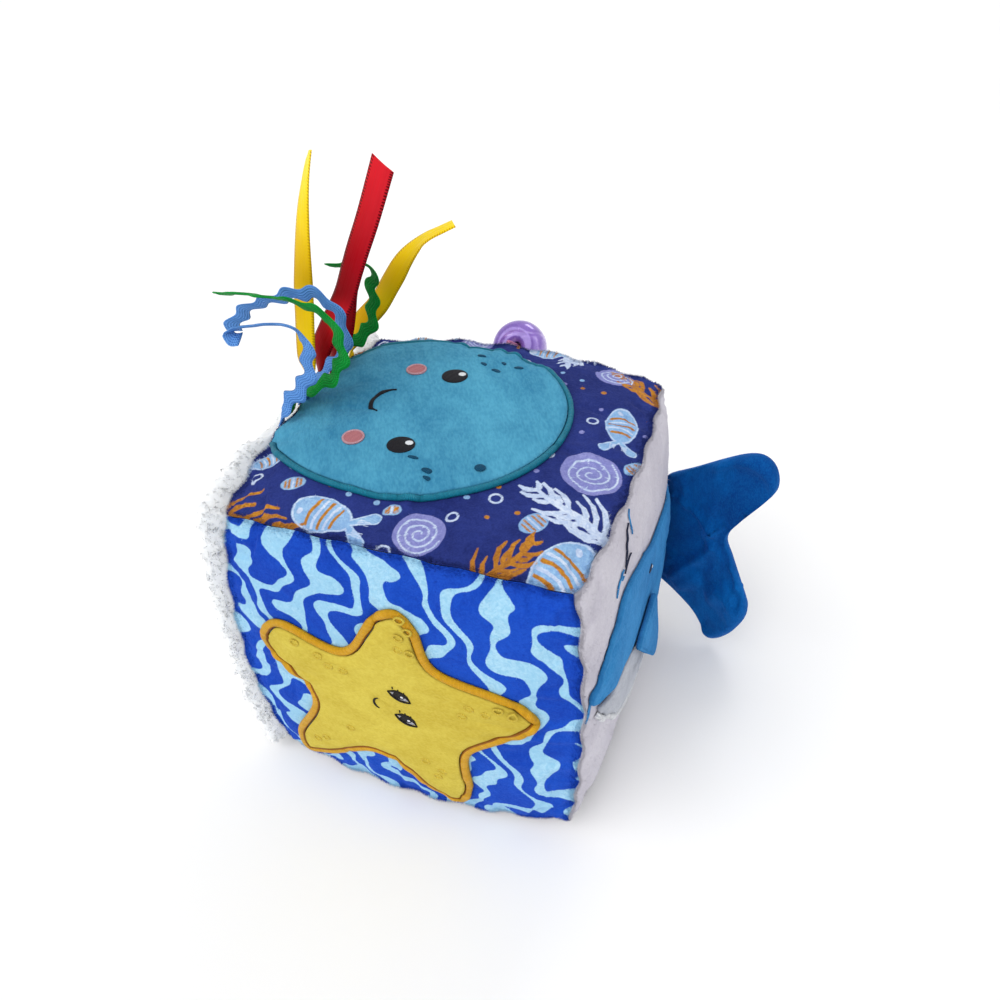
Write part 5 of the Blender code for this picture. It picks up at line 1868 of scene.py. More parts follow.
@dataclass
class Whale(Dressed):
    """The whale on the right panel: body, belly with its fluffy hem, eye, spout and free fin."""

    seam_margin: float = 0.0054
    body: tuple = (
        (-0.50, 0.095), (-0.475, 0.155), (-0.41, 0.205), (-0.34, 0.255), (-0.28, 0.30), (-0.21, 0.305),
        (-0.11, 0.28), (-0.03, 0.25), (0.06, 0.21), (0.16, 0.185), (0.28, 0.17), (0.39, 0.15),
        (0.485, 0.11), (0.49, -0.12), (0.485, -0.335), (0.35, -0.312), (0.21, -0.236), (0.07, -0.152),
        (-0.06, -0.076), (-0.18, -0.015), (-0.28, 0.016), (-0.38, 0.040), (-0.455, 0.058),
    )
    heart: Pair = (-0.02, 0.06)
    belly_top: tuple = (
        (-0.455, 0.040), (-0.38, 0.024), (-0.28, 0.0), (-0.18, -0.031), (-0.06, -0.092),
        (0.07, -0.168), (0.21, -0.252), (0.35, -0.328),
    )
    belly_bottom: tuple = (
        (-0.470, 0.016), (-0.435, -0.035), (-0.37, -0.105), (-0.28, -0.19), (-0.16, -0.27),
        (0.0, -0.34), (0.18, -0.385), (0.36, -0.395),
    )
    hem: float = 0.0022
    eye: Pair = (0.017, 0.014)
    eye_at: Pair = (0.0, 0.165)
    fin_span: float = 0.0300
    fin_drop: float = 0.0360
    fin_root: Pair = (-0.045, -0.005)
    fin_half: float = 0.0018
    fin_edge: float = 0.0009
    fin_float: float = 0.0003
    fin_outline: tuple = (
        (-0.50, 0.0), (0.0, 0.0), (0.50, 0.0), (0.60, -0.35), (0.67, -0.68), (0.65, -0.92),
        (0.54, -1.0), (0.38, -0.91), (0.02, -0.58), (-0.28, -0.27),
    )
    fin_heart: Pair = (0.25, -0.42)
    spout: tuple = (("black", 0.8, ((-22, 62), (-26, 58), (-29, 54), (-31, 49))),
                    ("black", 0.7, ((-24, 50), (-28, 49.5), (-32, 47))),
                    ("blue", 1.0, ((-33, 49.8), (-35.4, 49.2), (-35.2, 47.0), (-33.4, 47.2))),
                    ("blue", 1.0, ((-36, 49), (-39, 47.5), (-41.5, 44))),
                    ("blue", 0.9, ((-18, 66), (-20, 61), (-21, 56))),
                    ("blue", 2.4, ((-61, 12.0), (-65, 10.6), (-68.5, 7.5))))

    @property
    def length(self) -> float:
        """The whale's length from seam to seam."""
        return self.form.seam_to_seam - 2 * self.seam_margin

    def make(self) -> None:
        """Make every piece of the whale but its tail."""
        form, length = self.form, self.length
        stitcher = Stitcher(form, self.effects, Panel.RIGHT)
        ocean = PlushFinish("ocean_plush", (0.038, 0.235, 0.52), (0.014, 0.125, 0.34),
                            stretch=(1.0, 1.0, 1.8), patch=60.0)
        edge = counterclockwise(spline(np.array(self.body) * length, 220, closed=True))
        heart = (self.heart[0] * length, self.heart[1] * length)
        stitcher.patch("whale_back", edge, heart, ocean, "plush_ocean", "whale_body",
                       puff=0.0008, rings=26)
        self.belly(stitcher)
        black = self.thread("whale_black_thread", (0.010, 0.016, 0.045), (0.03, 0.035, 0.07))
        place = (self.eye_at[0] * length, self.eye_at[1] * length)
        radii = (self.eye[0] * length, self.eye[1] * length)
        stitcher.spot("whale_eye_mark", place, radii, black, "thread_black", ["whale_eye"])
        white = self.thread("whale_shine", (0.86, 0.88, 0.90), (0.55, 0.60, 0.66))
        stitcher.spot("whale_eye_shine", (place[0] + 0.0007, place[1] + 0.0006), (0.0006, 0.0006),
                      white, "thread_white", above=0.0005, height=0.0003)
        blue = self.thread("ocean_thread", (0.05, 0.26, 0.55), (0.02, 0.14, 0.38))
        threads = {"black": black, "blue": blue}
        for k, (tone, width, line) in enumerate(self.spout):
            stitcher.stroke(f"whale_stitch_{k}", np.array(line) * MM, width * MM, threads[tone],
                            "thread_black", on_patch=False)
        self.fin(ocean)

    def belly(self, stitcher: Stitcher) -> None:
        """Lay the grey belly and its fluffy white hem."""
        length = self.length
        top = spline(np.array(self.belly_top) * length, 150, closed=False)
        bottom = spline(np.array(self.belly_bottom) * length, 150, closed=False)
        stop = inset(bottom, self.hem + self.form.gap, closed=False)
        grey = PlushFinish("grey_plush", (0.50, 0.52, 0.57), (0.34, 0.36, 0.42), grain=1300.0,
                           stretch=(1.0, 1.0, 1.5), rise=0.001)
        outline = counterclockwise(np.concatenate([stop, top[::-1]]))
        heart = tuple(np.mean([top[75], stop[75]], axis=0))
        stitcher.patch("whale_belly_plush", outline, heart, grey, "plush_grey", "whale_belly",
                       puff=0.0006, rings=14)
        white = ThreadFinish("white_overlock", (0.84, 0.85, 0.87), (0.55, 0.57, 0.62),
                             (0.72, 0.74, 0.78), inner_from=0.0018, count=1400.0)
        hem = inset(bottom, self.hem, closed=False)
        wave = 0.0005 * np.sin(np.arange(len(bottom)) * 1.9)[:, None]
        run = hem - bottom
        run = unit(run)
        stitcher.band("whale_hem", bottom - run * (0.0002 + wave), hem, white.material(self.effects),
                      "thread_white", ["whale_belly_hem"])

    def fin(self, finish: PlushFinish) -> None:
        """Hang the free fin from its root, softly stuffed, with a stitched rim."""
        form = self.form
        outline = np.array(self.fin_outline) * (self.fin_span, self.fin_drop)
        outline = counterclockwise(spline(outline, 90, closed=True))
        heart = (self.fin_heart[0] * self.fin_span, self.fin_heart[1] * self.fin_drop)
        root = np.array(self.fin_root) * self.length
        solid, flat, top, share = pillow(outline, heart, np.linspace(0.1, 1.0, 14))
        half = self.fin_edge + (self.fin_half - self.fin_edge) * np.sqrt(np.clip(1 - share**2, 0, 1))
        half -= 0.0005 * np.exp(-((share - 0.86) / 0.05) ** 2)
        lift = form.face_lift + self.fin_float + self.fin_half + half * np.where(top, 1, -1)
        lift = lift + 0.0022 * np.clip(-flat[:, 1] / self.fin_drop, 0, 1)
        move_points(solid, form.on_panel(Panel.RIGHT, flat[:, 0] + root[0], flat[:, 1] + root[1], lift))
        piece = finish_piece("whale_fin_plush", solid, finish.material(self.effects), "fin",
                             "plush_ocean", ["whale_fin"])


@dataclass
class Tail(Dressed):
    """The whale's stuffed tail, sewn into the back right seam and creased towards its lobes."""

    length: float = 0.056
    outline: tuple = (
        (0.0, 0.12), (0.0, 0.22), (0.025, 0.275), (0.23, 0.44), (0.49, 0.66), (0.665, 0.79),
        (0.79, 0.835), (0.89, 0.79), (0.94, 0.66), (0.905, 0.51), (0.71, 0.165), (0.61, -0.06),
        (0.685, -0.23), (0.79, -0.43), (0.88, -0.61), (0.895, -0.77), (0.83, -0.97), (0.71, -1.15),
        (0.60, -1.22), (0.54, -1.13), (0.42, -1.0), (0.22, -0.90), (0.025, -0.83), (0.0, -0.78),
        (0.0, -0.65),
    )
    heart: Pair = (0.40, -0.18)
    yaw: float = math.radians(-25)
    half: float = 0.0080
    cloth: float = 0.0014
    taper: float = 0.026
    seam_offset: float = 0.0016
    start: float = 0.92
    pressure: float = 5.0
    cap: float = 0.004
    creases: tuple = (
        (-0.0022, 0.0021, ((0.10, 0.11), (0.33, 0.06), (0.44, 0.0), (0.52, -0.05))),
        (-0.0022, 0.0021, ((0.52, -0.20), (0.43, -0.36), (0.29, -0.57), (0.16, -0.74))),
        (0.0044, 0.0040, ((0.59, 0.15), (0.64, 0.26), (0.70, 0.42))),
        (0.0042, 0.0044, ((0.57, -0.42), (0.50, -0.65), (0.43, -0.86))),
        (0.0018, 0.0060, ((0.10, -0.36), (0.40, -0.24))),
    )

    def place(self, local: Array) -> Array:
        """Turn the tail's own coordinates (out, sideways, up) into the row's frame."""
        seam = self.form.seam_line(0.26 * self.length) + self.seam_offset
        turn = np.array(Matrix.Rotation(self.yaw, 3, "Z"))
        return local @ turn.T + (seam, seam, self.form.centre[2])

    def half_at(self, share: Array, out: Array) -> Array:
        """Return half the tail's thickness at a share of the way out and a distance from the seam."""
        edge = self.cloth + self.form.gap / 2
        full = edge + (self.half - edge) * np.sqrt(np.clip(1 - share**2, 0, 1))
        return edge + (full - edge) * np.clip(out / self.taper, 0, 1)

    def shape(self, count: int, rings: int) -> tuple[BMesh, Array, Array]:
        """Make the tail's pillow form, with each point's side and its place in the pattern."""
        outline = spline(np.array(self.outline) * self.length, count, closed=True)
        outline[:, 0] = np.maximum(outline[:, 0], 0.0)
        heart = (self.heart[0] * self.length, self.heart[1] * self.length)
        solid, flat, top, share = pillow(outline, heart, np.linspace(0.06, 1.0, rings))
        return solid, np.where(top, 1.0, -1.0), np.column_stack([flat[:, :2], share])

    def make(self) -> None:
        """Blow the skins up, press the creases in and stuff them."""
        solid, side, flat = self.shape(150, 26)
        half = self.half_at(flat[:, 2], flat[:, 0])
        local = np.stack([flat[:, 0], side * half, flat[:, 1]], axis=1)
        local = self.blown(local)
        rim = np.clip((1 - flat[:, 2]) * 5, 0, 1)
        rim = rim * rim * (3 - 2 * rim)
        for depth, width, path in self.creases:
            line = spline(np.array(path) * self.length, 24, closed=False)
            away = np.full(len(flat), 9.0)
            for a, b in zip(line[:-1], line[1:]):
                away = np.minimum(away, capsule(flat[:, :2], a, b, 0.0, 0.0))
            local[:, 1] -= side * depth * np.exp(-((away / width) ** 2)) * rim
        ripple = 0.00035 * np.sin(flat[:, 1] * 420 + 2.2 * np.sin(flat[:, 0] * 190)) * rim
        local[:, 1] += side * ripple * np.clip(1.2 - flat[:, 2], 0, 1)
        limit = (self.half + 0.0015) * np.clip(0.25 + flat[:, 0] / self.taper, 0, 1)
        local[:, 1] = side * np.clip(side * local[:, 1], 0.0016, np.maximum(limit, 0.0018))
        move_points(solid, self.place(local))
        deep = PlushFinish("deep_blue_minky", (0.0, 0.120, 0.42), (0.0, 0.045, 0.22),
                           stretch=(1.0, 1.0, 1.8), patch=48.0, sheen=0.45, grain=1700.0)
        piece = finish_piece("tail_skin", solid, deep.material(self.effects), "tail",
                             "plush_deep_blue", ["tail_skin_front", "tail_skin_back"])
        self.stuff(local)

    def blown(self, local: Array) -> Array:
        """Blow a slightly flatter tail up by cloth simulation and carry its swell over."""
        count, rings = 96, 16
        solid, side, flat = self.shape(count, rings)
        half = self.half_at(flat[:, 2], flat[:, 0]) * self.start
        rest = np.stack([flat[:, 0], side * half, flat[:, 1]], axis=1)
        move_points(solid, rest)
        held = [int(k) for k in np.nonzero((flat[:, 0] < 0.004) | (flat[:, 2] > 0.999))[0]]
        shaped = simulated("tail", solid, held, -0.10, self.pressure, bending=0.1)
        swell = np.clip((shaped - rest)[:, 1] * side, -self.cap, self.cap)
        grown = local.copy()
        for way in (-1.0, 1.0):
            ours, theirs = (local[:, 1] * way > 0), side == way
            spots = local[ours][:, (0, 2)]
            known, values = flat[theirs][:, :2], swell[theirs]
            away = np.linalg.norm(spots[:, None] - known[None], axis=2) + 1e-6
            near = np.argsort(away, axis=1)[:, :4]
            weight = 1 / np.take_along_axis(away, near, axis=1) ** 2
            found = np.sum(values[near] * weight, axis=1) / weight.sum(axis=1)
            grown[ours, 1] = way * (abs(local[ours, 1]) * self.start + found)
        return grown

    def stuff(self, skin: Array) -> None:
        """Make the filling inside the skins, whose points are given."""
        solid, side, flat = self.shape(60, 9)
        share = 0.80
        heart = np.array(self.heart) * self.length
        spots = heart + share * (flat[:, :2] - heart)
        away = np.linalg.norm(spots[:, None] - skin[None][:, :, (0, 2)], axis=2)
        near = np.argsort(away, axis=1)[:, :16]
        half = 0.55 * np.min(abs(skin[:, 1])[near], axis=1) - 0.0004
        lumps = np.sin(spots[:, 0] * 500) * np.sin(spots[:, 1] * 430)
        half = np.maximum(half + 0.0002 * lumps, 0.0003)
        move_points(solid, self.place(np.stack([spots[:, 0], side * half, spots[:, 1]], axis=1)))
        # The filling's white, and painted shade in the hollows between its lumps through the stored
        # height.
        wool = WoolFinish("tail_polyester", (0.86, 0.86, 0.84), (0.6, 0.6, 0.58))
        piece = finish_piece("tail_stuffing", solid, wool.material(self.effects), "tail",
                             "filling_white", ["tail_filling"], {"height": 0.5 + 0.5 * lumps})


# Ribbons, ric-rac and bead


@dataclass(frozen=True)
class Strand:
    """One strand: its node, kind, slot and length, its route's shares and its twist in degrees."""

    name: str
    kind: StrandKind
    slot: str
    length: float
    route: tuple
    twists: tuple


@dataclass
class Strands(Dressed):
    """The eight strands sewn into the top left seam."""

    ribbon_width: float = 0.0095
    ribbon_thick: float = 0.0004
    ricrac_band: float = 0.0062
    ricrac_swing: float = 0.0013
    ricrac_pitch: float = 0.0110
    ricrac_thick: float = 0.0011
    run_in: float = 0.0100
    seam_offset: float = 0.0008
    pitch: float = 0.0080
    first_at: float = -0.0140
    pinch: float = 0.0068
    pinch_run: float = 0.0120
    step: float = 0.0007
    rows: tuple[Strand, ...] = (
        Strand("blue_ricrac_front", StrandKind.RICRAC, "ricrac_blue", 0.0880,
               ((0.0, 0.0), (0.028, 0.078), (0.09, 0.15), (0.155, 0.225), (0.19, 0.30),
                (0.195, 0.37), (0.20, 0.43), (0.165, 0.475), (0.11, 0.49), (0.04, 0.482),
                (-0.043, 0.462), (-0.112, 0.442), (-0.165, 0.41), (-0.10, 0.39)),
               ((0.0, 0), (0.15, 80), (0.48, 80), (0.62, 30), (1.0, 20))),
        Strand("green_ricrac_front", StrandKind.RICRAC, "ricrac_green", 0.1045,
               ((0.0, 0.0), (0.030, 0.062), (0.105, 0.12), (0.185, 0.17), (0.235, 0.23),
                (0.258, 0.28), (0.260, 0.335), (0.247, 0.39), (0.225, 0.43), (0.15, 0.46),
                (0.09, 0.472), (0.022, 0.474), (-0.039, 0.473), (-0.109, 0.471), (-0.205, 0.458)),
               ((0.0, 0), (0.22, 35), (0.40, 75), (0.62, 65), (0.80, 20), (1.0, 35))),
        Strand("blue_ricrac_back", StrandKind.RICRAC, "ricrac_blue", 0.1110,
               ((0.0, 0.0), (0.07, 0.09), (0.155, 0.18), (0.205, 0.235), (0.222, 0.29),
                (0.215, 0.35), (0.195, 0.395), (0.145, 0.43), (0.085, 0.432), (-0.018, 0.398),
                (-0.118, 0.356), (-0.18, 0.31), (-0.225, 0.245)),
               ((0.0, 0), (0.20, 45), (0.42, 75), (0.62, 75), (0.80, 45), (1.0, 55))),
        Strand("yellow_ribbon_left", StrandKind.RIBBON, "satin_yellow", 0.1035,
               ((0.0, 0.0), (0.002, 0.052), (0.006, 0.143), (0.02, 0.245), (0.04, 0.374),
                (0.055, 0.47), (0.095, 0.69), (0.138, 0.852), (0.184, 0.975)),
               ((0.0, 0), (0.12, 80), (0.45, 80), (0.75, 55), (1.0, 27))),
        Strand("red_ribbon_front", StrandKind.RIBBON, "satin_red", 0.1045,
               ((0.0, 0.0), (0.0, 0.07), (0.024, 0.15), (0.09, 0.268), (0.162, 0.39), (0.21, 0.50),
                (0.245, 0.58), (0.305, 0.71), (0.385, 0.90)),
               ((0.0, 0), (0.13, 80), (1.0, 86))),
        Strand("red_ribbon_back", StrandKind.RIBBON, "satin_red", 0.0670,
               ((0.0, 0.0), (0.028, 0.11), (0.085, 0.215), (0.145, 0.335), (0.183, 0.469),
                (0.215, 0.61), (0.27, 0.78), (0.335, 0.93)),
               ((0.0, 0), (0.18, 75), (1.0, 75))),
        Strand("green_ricrac_back", StrandKind.RICRAC, "ricrac_green", 0.0740,
               ((0.0, 0.0), (0.022, 0.09), (0.105, 0.175), (0.195, 0.245), (0.232, 0.335),
                (0.245, 0.41), (0.25, 0.49), (0.27, 0.55), (0.262, 0.605), (0.215, 0.628),
                (0.14, 0.618), (0.03, 0.585)),
               ((0.0, 0), (0.20, 70), (0.62, 75), (0.80, 30), (1.0, 40))),
        Strand("yellow_ribbon_right", StrandKind.RIBBON, "satin_yellow", 0.0905,
               ((0.0, 0.0), (0.0, 0.045), (0.020, 0.11), (0.085, 0.205), (0.185, 0.315),
                (0.26, 0.43), (0.335, 0.54), (0.415, 0.625), (0.47, 0.667), (0.60, 0.74)),
               ((0.0, 0), (0.14, 75), (0.60, 70), (0.84, 10), (1.0, 8))),
    )

    def make(self) -> None:
        """Make every strand."""
        finishes = {
            # Each ribbon: its colour, its painted shade, its painted highlight and its picot edge.
            "satin_yellow": RibbonFinish("yellow_satin", (0.93, 0.64, 0.001), (0.70, 0.40, 0.001),
                                         (1.0, 0.78, 0.002), (0.62, 0.33, 0.0), picot=800.0),
            "satin_red": RibbonFinish("red_satin", (0.72, 0.012, 0.022), (0.30, 0.001, 0.006),
                                      (0.68, 0.014, 0.026), (0.11, 0.0, 0.002), picot=800.0),
            "ricrac_blue": RicracFinish("blue_ricrac", (0.13, 0.34, 0.76), (0.035, 0.12, 0.42)),
            "ricrac_green": RicracFinish("green_ricrac", (0.002, 0.34, 0.040), (0.0006, 0.13, 0.014)),
        }
        materials = {slot: finish.material(self.effects) for slot, finish in finishes.items()}
        for index, strand in enumerate(self.rows):
            self.strand(index, strand, materials[strand.slot])

    def strand(self, index: int, strand: Strand, material: Material) -> None:
        """Make one strand.

        Args:
            index: its number along the seam.
            strand: what it is.
            material: its material.
        """
        ribbon = strand.kind is StrandKind.RIBBON
        rough = spline(strand.route, 400, closed=False)
        rough *= strand.length / np.sum(np.linalg.norm(np.diff(rough, axis=0), axis=1))
        count = round(strand.length / self.step) + 1
        line = spline(rough, count, closed=False)
        last = count - 1
        before = line[np.maximum(np.arange(count) - 1, 0)]
        after = line[np.minimum(np.arange(count) + 1, last)]
        run = np.zeros((count, 3))
        run[:, (0, 2)] = after - before
        run = unit(run)
        walked = np.arange(count) * strand.length / last
        turn = np.radians(np.interp(walked / strand.length, *zip(*strand.twists)))
        turn = np.convolve(np.pad(turn, 6, "edge"), np.full(13, 1 / 13), "valid")
        level = np.array([0.0, 1.0, 0.0])
        side = level * np.cos(turn)[:, None] + np.cross(run, level) * np.sin(turn)[:, None]
        face = np.cross(run, side)
        middle = np.stack([line[:, 0], np.zeros(count), line[:, 1]], axis=1)
        if ribbon:
            half = (self.pinch + (self.ribbon_width - self.pinch)
                    * np.clip(walked / self.pinch_run, 0, 1)) / 2
            thick, camber, cut = self.ribbon_thick / 2, 0.0005, 0.0028
        else:
            half = np.full(count, self.ricrac_band / 2)
            wave = self.ricrac_swing * np.sin(TAU * walked / self.ricrac_pitch)
            middle += side * (wave * np.clip(walked / self.run_in, 0, 1))[:, None]
            thick, camber, cut = self.ricrac_thick / 2, 0.0, 0.0008
        tip = -0.4 if strand.slot == "satin_red" else 1.0
        across = np.concatenate([np.linspace(-1, 1, 9), np.linspace(1, -1, 9)[1:-1]])
        through = np.concatenate([[0.0], np.full(7, -1.0), [0.0], np.full(7, 1.0)])

        def place(station: Array, corner: Array) -> Array:
            """The strip's section, its last stretch cut on a slant."""
            share = across[corner]
            slant = np.clip((walked[station] - strand.length + 0.008) / 0.008, 0, 1)
            back = run[station] * (-cut * (share * tip + abs(tip)) * slant)[:, None]
            rise = thick * through[corner] * (1 if ribbon else np.sqrt(1 - 0.75 * share**2))
            bow = camber * (1 - share**2) * np.clip(walked[station] / self.run_in, 0, 1)
            if not ribbon:
                rise = rise * (0.86 + 0.14 * np.cos(share * 6 * math.pi))
            return middle[station] + side[station] * (half[station] * share)[:, None] \
                + face[station] * (rise + bow)[:, None] + back

        solid, station, corner = rolled_tube(last, len(across), False, place)
        along = self.first_at + index * self.pitch
        seam = self.form.seam_line(along) + self.seam_offset
        bmesh.ops.translate(solid, verts=solid.verts,
                            vec=(-seam, along, seam + self.form.centre[2]))
        uv = np.stack([walked[station], half[station] * across[corner]], axis=1)
        piece = finish_piece(f"{strand.name}_cloth", solid, material, f"{strand.name}_strand",
                             strand.slot, [strand.name], uv=uv)


@dataclass
class BeadOnCord(Dressed):
    """The pearly bead on its short knotted cord behind the top back seam."""

    at: float = -0.0050
    distance: float = 0.0190
    radius: float = 0.0125
    length: float = 0.0170
    hole: float = 0.0021
    dimple: float = 0.0046
    dimple_depth: float = 0.0022
    fullness: float = 0.6
    cord_radius: float = 0.0012
    slope: float = math.radians(-36)
    start: float = 0.0004
    seam_offset: float = 0.0013
    knot_radius: float = 0.0036
    knot_gap: float = 0.0004
    end: float = 0.0050

    def placed(self, solid: BMesh, out: float = 0.0) -> BMesh:
        """Put a shape made along Z onto the cord's line, a distance out from the seam."""
        turn = Matrix.Rotation(self.slope - math.pi / 2, 4, "X")
        seam = self.form.seam_line(self.at) + self.seam_offset
        place = Matrix.Translation((self.at, seam, seam + self.form.centre[2])) @ turn
        bmesh.ops.transform(solid, verts=solid.verts, matrix=place @ Matrix.Translation((0, 0, out)))
        return solid

    def on_line(self, out: float) -> tuple[float, float, float]:
        """A point of the cord's middle line."""
        seam = self.form.seam_line(self.at) + self.seam_offset
        return (self.at, seam + out * math.cos(self.slope),
                seam + self.form.centre[2] + out * math.sin(self.slope))

    def make(self) -> None:
        """Make the cord, its knot and the bead."""
        far = self.distance + self.length / 2 - self.dimple_depth + self.knot_gap
        middle = far + self.knot_radius
        tip = middle + self.knot_radius + self.end
        pink = RicracFinish("pink_cord", (0.60, 0.24, 0.42), (0.34, 0.09, 0.22),
                            band=TAU * self.cord_radius, cords=5)
        material = pink.material(self.effects)
        stations = 60

        def place(station: Array, corner: Array) -> Array:
            """The cord's round, slightly strand-marked section."""
            out = self.start + (tip - self.start) * station / stations
            turn = TAU * corner / 18
            thick = self.cord_radius * (0.93 + 0.07 * np.cos(3 * turn + out * 900))
            return np.stack([thick * np.cos(turn), thick * np.sin(turn), out], axis=1)

        solid, station, corner = rolled_tube(stations, 18, False, place)
        uv = np.stack([(tip - self.start) * station / stations,
                       TAU * self.cord_radius * corner / 18], axis=1)
        cord = finish_piece("bead_cord_braid", self.placed(solid), material, "cord", "cord_pink",
                            ["bead_cord"], uv=uv)
        knot = self.knot(middle, material)
        bead = self.bead()
        self.on_line(self.start)
        [self.on_line(self.start + (tip - self.start) * k / 15) for k in range(16)]

    def knot(self, middle: float, material: Material) -> Object:
        """Wind the overhand knot: a cord that runs round the main line in a closed trefoil."""
        stations, corners = 120, 10
        t = np.arange(stations) * TAU / stations
        path = np.stack([np.sin(t) + 2 * np.sin(2 * t), np.cos(t) - 2 * np.cos(2 * t),
                         -1.3 * np.sin(3 * t)], axis=1)
        size = (self.knot_radius - self.cord_radius) / 3.0
        path *= size
        run = np.roll(path, -1, axis=0) - np.roll(path, 1, axis=0)
        run = unit(run)
        side = np.cross(run, np.array([0.0, 0.0, 1.0]))
        side = unit(side)
        up = np.cross(side, run)

        def place(station: Array, corner: Array) -> Array:
            """The knot's round section."""
            turn = TAU * corner / corners
            around = side[station] * np.cos(turn)[:, None] + up[station] * np.sin(turn)[:, None]
            return path[station] + around * self.cord_radius

        solid, station, corner = rolled_tube(stations, corners, True, place)
        length = float(np.sum(np.linalg.norm(path - np.roll(path, 1, axis=0), axis=1)))
        uv = np.stack([station * length / stations, TAU * self.cord_radius * corner / corners], axis=1)
        return finish_piece("bead_knot", self.placed(solid, middle), material, "cord", "cord_pink",
                            uv=uv, lap=length)

    def bead(self) -> Object:
        """Turn the bead, dimpled round its hole."""
        half = self.length / 2
        rim = half - self.dimple_depth
        section = [(self.hole, -rim), (self.hole, 0.0), (self.hole, rim)]
        for k in range(1, 6):
            t = k / 6
            section.append((self.hole + (self.dimple - self.hole) * t,
                            rim + self.dimple_depth * math.sin(t * math.pi / 2)))
        steps = 26
        for k in range(steps + 1):
            t = math.pi / 2 - math.pi * k / steps
            bulge = self.dimple + (self.radius - self.dimple) * max(math.cos(t), 0.0) ** self.fullness
            section.append((bulge, half * math.sin(t)))
        for k in range(5, 0, -1):
            t = k / 6
            section.append((self.hole + (self.dimple - self.hole) * t,
                            -rim - self.dimple_depth * math.sin(t * math.pi / 2)))
        pearl = PearlFinish("purple_pearl", (0.25, 0.14, 0.55), (0.42, 0.30, 0.72), (0.17, 0.08, 0.44))
        solid = self.placed(turned(section, 72, closed=True), self.distance)
        return finish_piece("bead_pearl", solid, pearl.material(self.effects), "bead", "bead_purple",
                            ["bead"])


# Studio


@dataclass
class Studio:
    """The pale floor, the soft lights and the camera at the photograph's angle."""

    effects: Effects
    azimuth: float = math.radians(21.102)
    elevation: float = math.radians(39.418)
    roll: float = math.radians(-2.203)
    unit: float = 0.070
    middle: tuple[float, float, float] = (0.220, 0.0, 0.585)
    distance: float = 5.080
    focal: float = 893.74
    floor_size: float = 6.0

    def camera(self, form: BlockForm) -> None:
        """Set the camera up."""
        back = Vector((math.sin(self.azimuth) * math.cos(self.elevation),
                       -math.cos(self.azimuth) * math.cos(self.elevation), math.sin(self.elevation)))
        right = (-back).cross(Vector((0, 0, 1))).normalized()
        up = right.cross(-back)
        c, s = math.cos(self.roll), math.sin(self.roll)
        across, tall = right * c + up * s, up * c - right * s
        data = bpy.data.cameras.new("camera")
        data.sensor_width = 36.0
        data.lens = self.focal * data.sensor_width / 1000
        data.clip_start = 0.01
        camera = bpy.data.objects.new("camera", data)
        bpy.context.scene.collection.objects.link(camera)
        target = Vector(self.middle) * self.unit + Vector(form.centre)
        spot = Matrix.Translation(target + back * self.distance * self.unit)
        camera.matrix_world = spot @ Matrix((across, tall, back)).transposed().to_4x4()
        bpy.context.scene.camera = camera

    def floor(self) -> None:
        """Lay the pale floor."""
        slab = bmesh.new()
        bmesh.ops.create_grid(slab, x_segments=1, y_segments=1, size=self.floor_size / 2)
        mesh = bpy.data.meshes.new("studio_floor")
        slab.to_mesh(mesh)
        slab.free()
        finish = FloorFinish("studio_paper", (0.93, 0.93, 0.93), (0.91, 0.91, 0.915))
        mesh.materials.append(finish.material(self.effects))
        floor = bpy.data.objects.new("studio_floor", mesh)
        bpy.context.scene.collection.objects.link(floor)

    def lamp(self, name: str, kind: str, place: Sequence[float], size: float, power: float) -> None:
        """Hang one lamp that faces the block: a sun of an angle in degrees, or a soft box in metres."""
        data = bpy.data.lights.new(name, kind)
        data.energy = power
        if kind == "SUN":
            data.angle = math.radians(size)
        else:
            data.shape, data.size = "SQUARE", size
        lamp = bpy.data.objects.new(name, data)
        bpy.context.scene.collection.objects.link(lamp)
        spot = Vector(place)
        aim = (Vector((0, 0, 0.07)) - spot).to_track_quat("-Z", "Y")
        lamp.matrix_world = Matrix.Translation(spot) @ aim.to_matrix().to_4x4()

    def light(self) -> None:
        """Light the block softly from all round, most from the upper left."""
        world = bpy.data.worlds.new("studio")
        world.use_nodes = True
        world.node_tree.nodes["Background"].inputs["Color"].default_value = (1.0, 1.0, 1.0, 1.0)
        world.node_tree.nodes["Background"].inputs["Strength"].default_value = 0.68
        bpy.context.scene.world = world
        self.lamp("key", "SUN", (-0.40, -0.62, 0.75), 60.0, 1.6)
        self.lamp("fill", "SUN", (0.80, -0.30, 0.60), 60.0, 0.55)
        self.lamp("gleam", "AREA", (0.10, 0.55, 0.60), 0.25, 0.8)
        bpy.context.scene.view_settings.view_transform = "Standard"


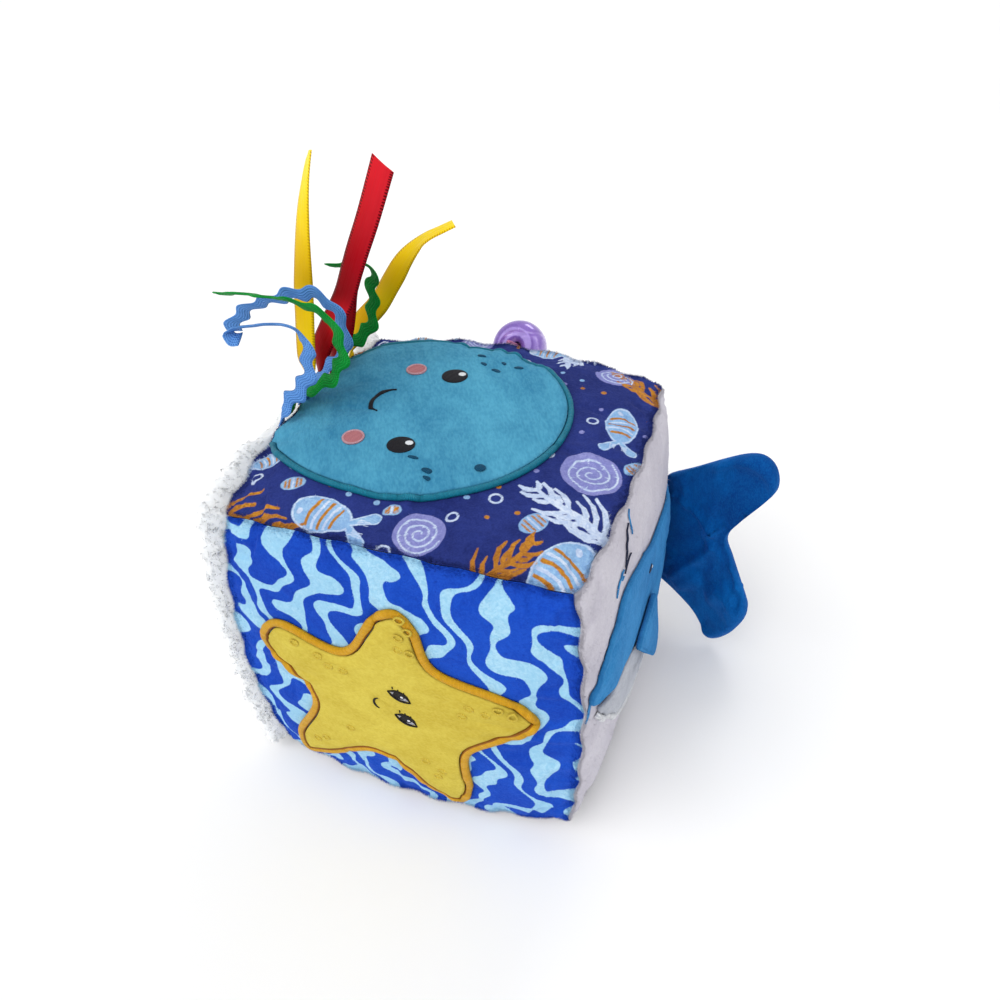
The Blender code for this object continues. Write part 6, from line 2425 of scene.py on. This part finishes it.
def main() -> None:
    """Build the block, piece by piece, and light it."""
    logging.basicConfig(level=logging.INFO, format="%(message)s")
    effects = Effects()
    form = BlockForm()
    studio = Studio(effects)
    studio.camera(form)
    BeadOnCord(form, effects).make()
    form.settle()
    cover = Cover(form, effects)
    cover.stuff()
    sea, waves = SeaPrint(), WavePrint()
    blush = PlushFinish("blush_plush", (0.61, 0.59, 0.65), (0.48, 0.46, 0.53), stretch=(1.0, 1.0, 1.5),
                        sheen=0.2, rise=0.0007)
    navy = PlushFinish("navy_sea_print", (0.022, 0.038, 0.21), (0.011, 0.019, 0.12), prints=(
        PrintLayer("print_pale", (0.34, 0.55, 0.76), (0.20, 0.36, 0.62)),
        PrintLayer("print_lilac", (0.30, 0.31, 0.62), (0.18, 0.19, 0.46)),
        PrintLayer("print_ochre", (0.62, 0.27, 0.022), (0.34, 0.13, 0.020)),
        PrintLayer("print_white", (0.70, 0.77, 0.87), (0.42, 0.52, 0.72))))
    royal = PlushFinish("royal_wave_print", (0.009, 0.075, 0.51), (0.005, 0.040, 0.36), prints=(
        PrintLayer("print_band", (0.42, 0.67, 0.82), (0.28, 0.54, 0.73)),))
    rows = (
        (Panel.TOP, "top", navy, "plush_navy", 250, sea, 1),
        (Panel.FRONT, "front", royal, "plush_royal_blue", 215, waves, 2),
        (Panel.RIGHT, "right", blush, "plush_blush", 120, None, 3),
        (Panel.BACK, "back", blush, "plush_blush", 120, None, 4),
        (Panel.BOTTOM, "bottom", blush, "plush_blush", 110, None, 5),
    )
    pile = Pile(form)
    for panel, side, finish, slot, cells, artwork, seed in rows:
        piece = cover.sew(panel, f"{side}_plush", f"panel_{side}", finish, slot, cells, artwork)
        pile.grow(panel, f"{side}_pile", slot, piece.data.materials[0], seed, artwork)
    Fleece(form, effects).make()
    Jellyfish(form, effects).make()
    Starfish(form, effects).make()
    Whale(form, effects).make()
    Tail(form, effects).make()
    Strands(form, effects).make()
    studio.floor()
    studio.light()


if __name__ == "__main__":
    main()
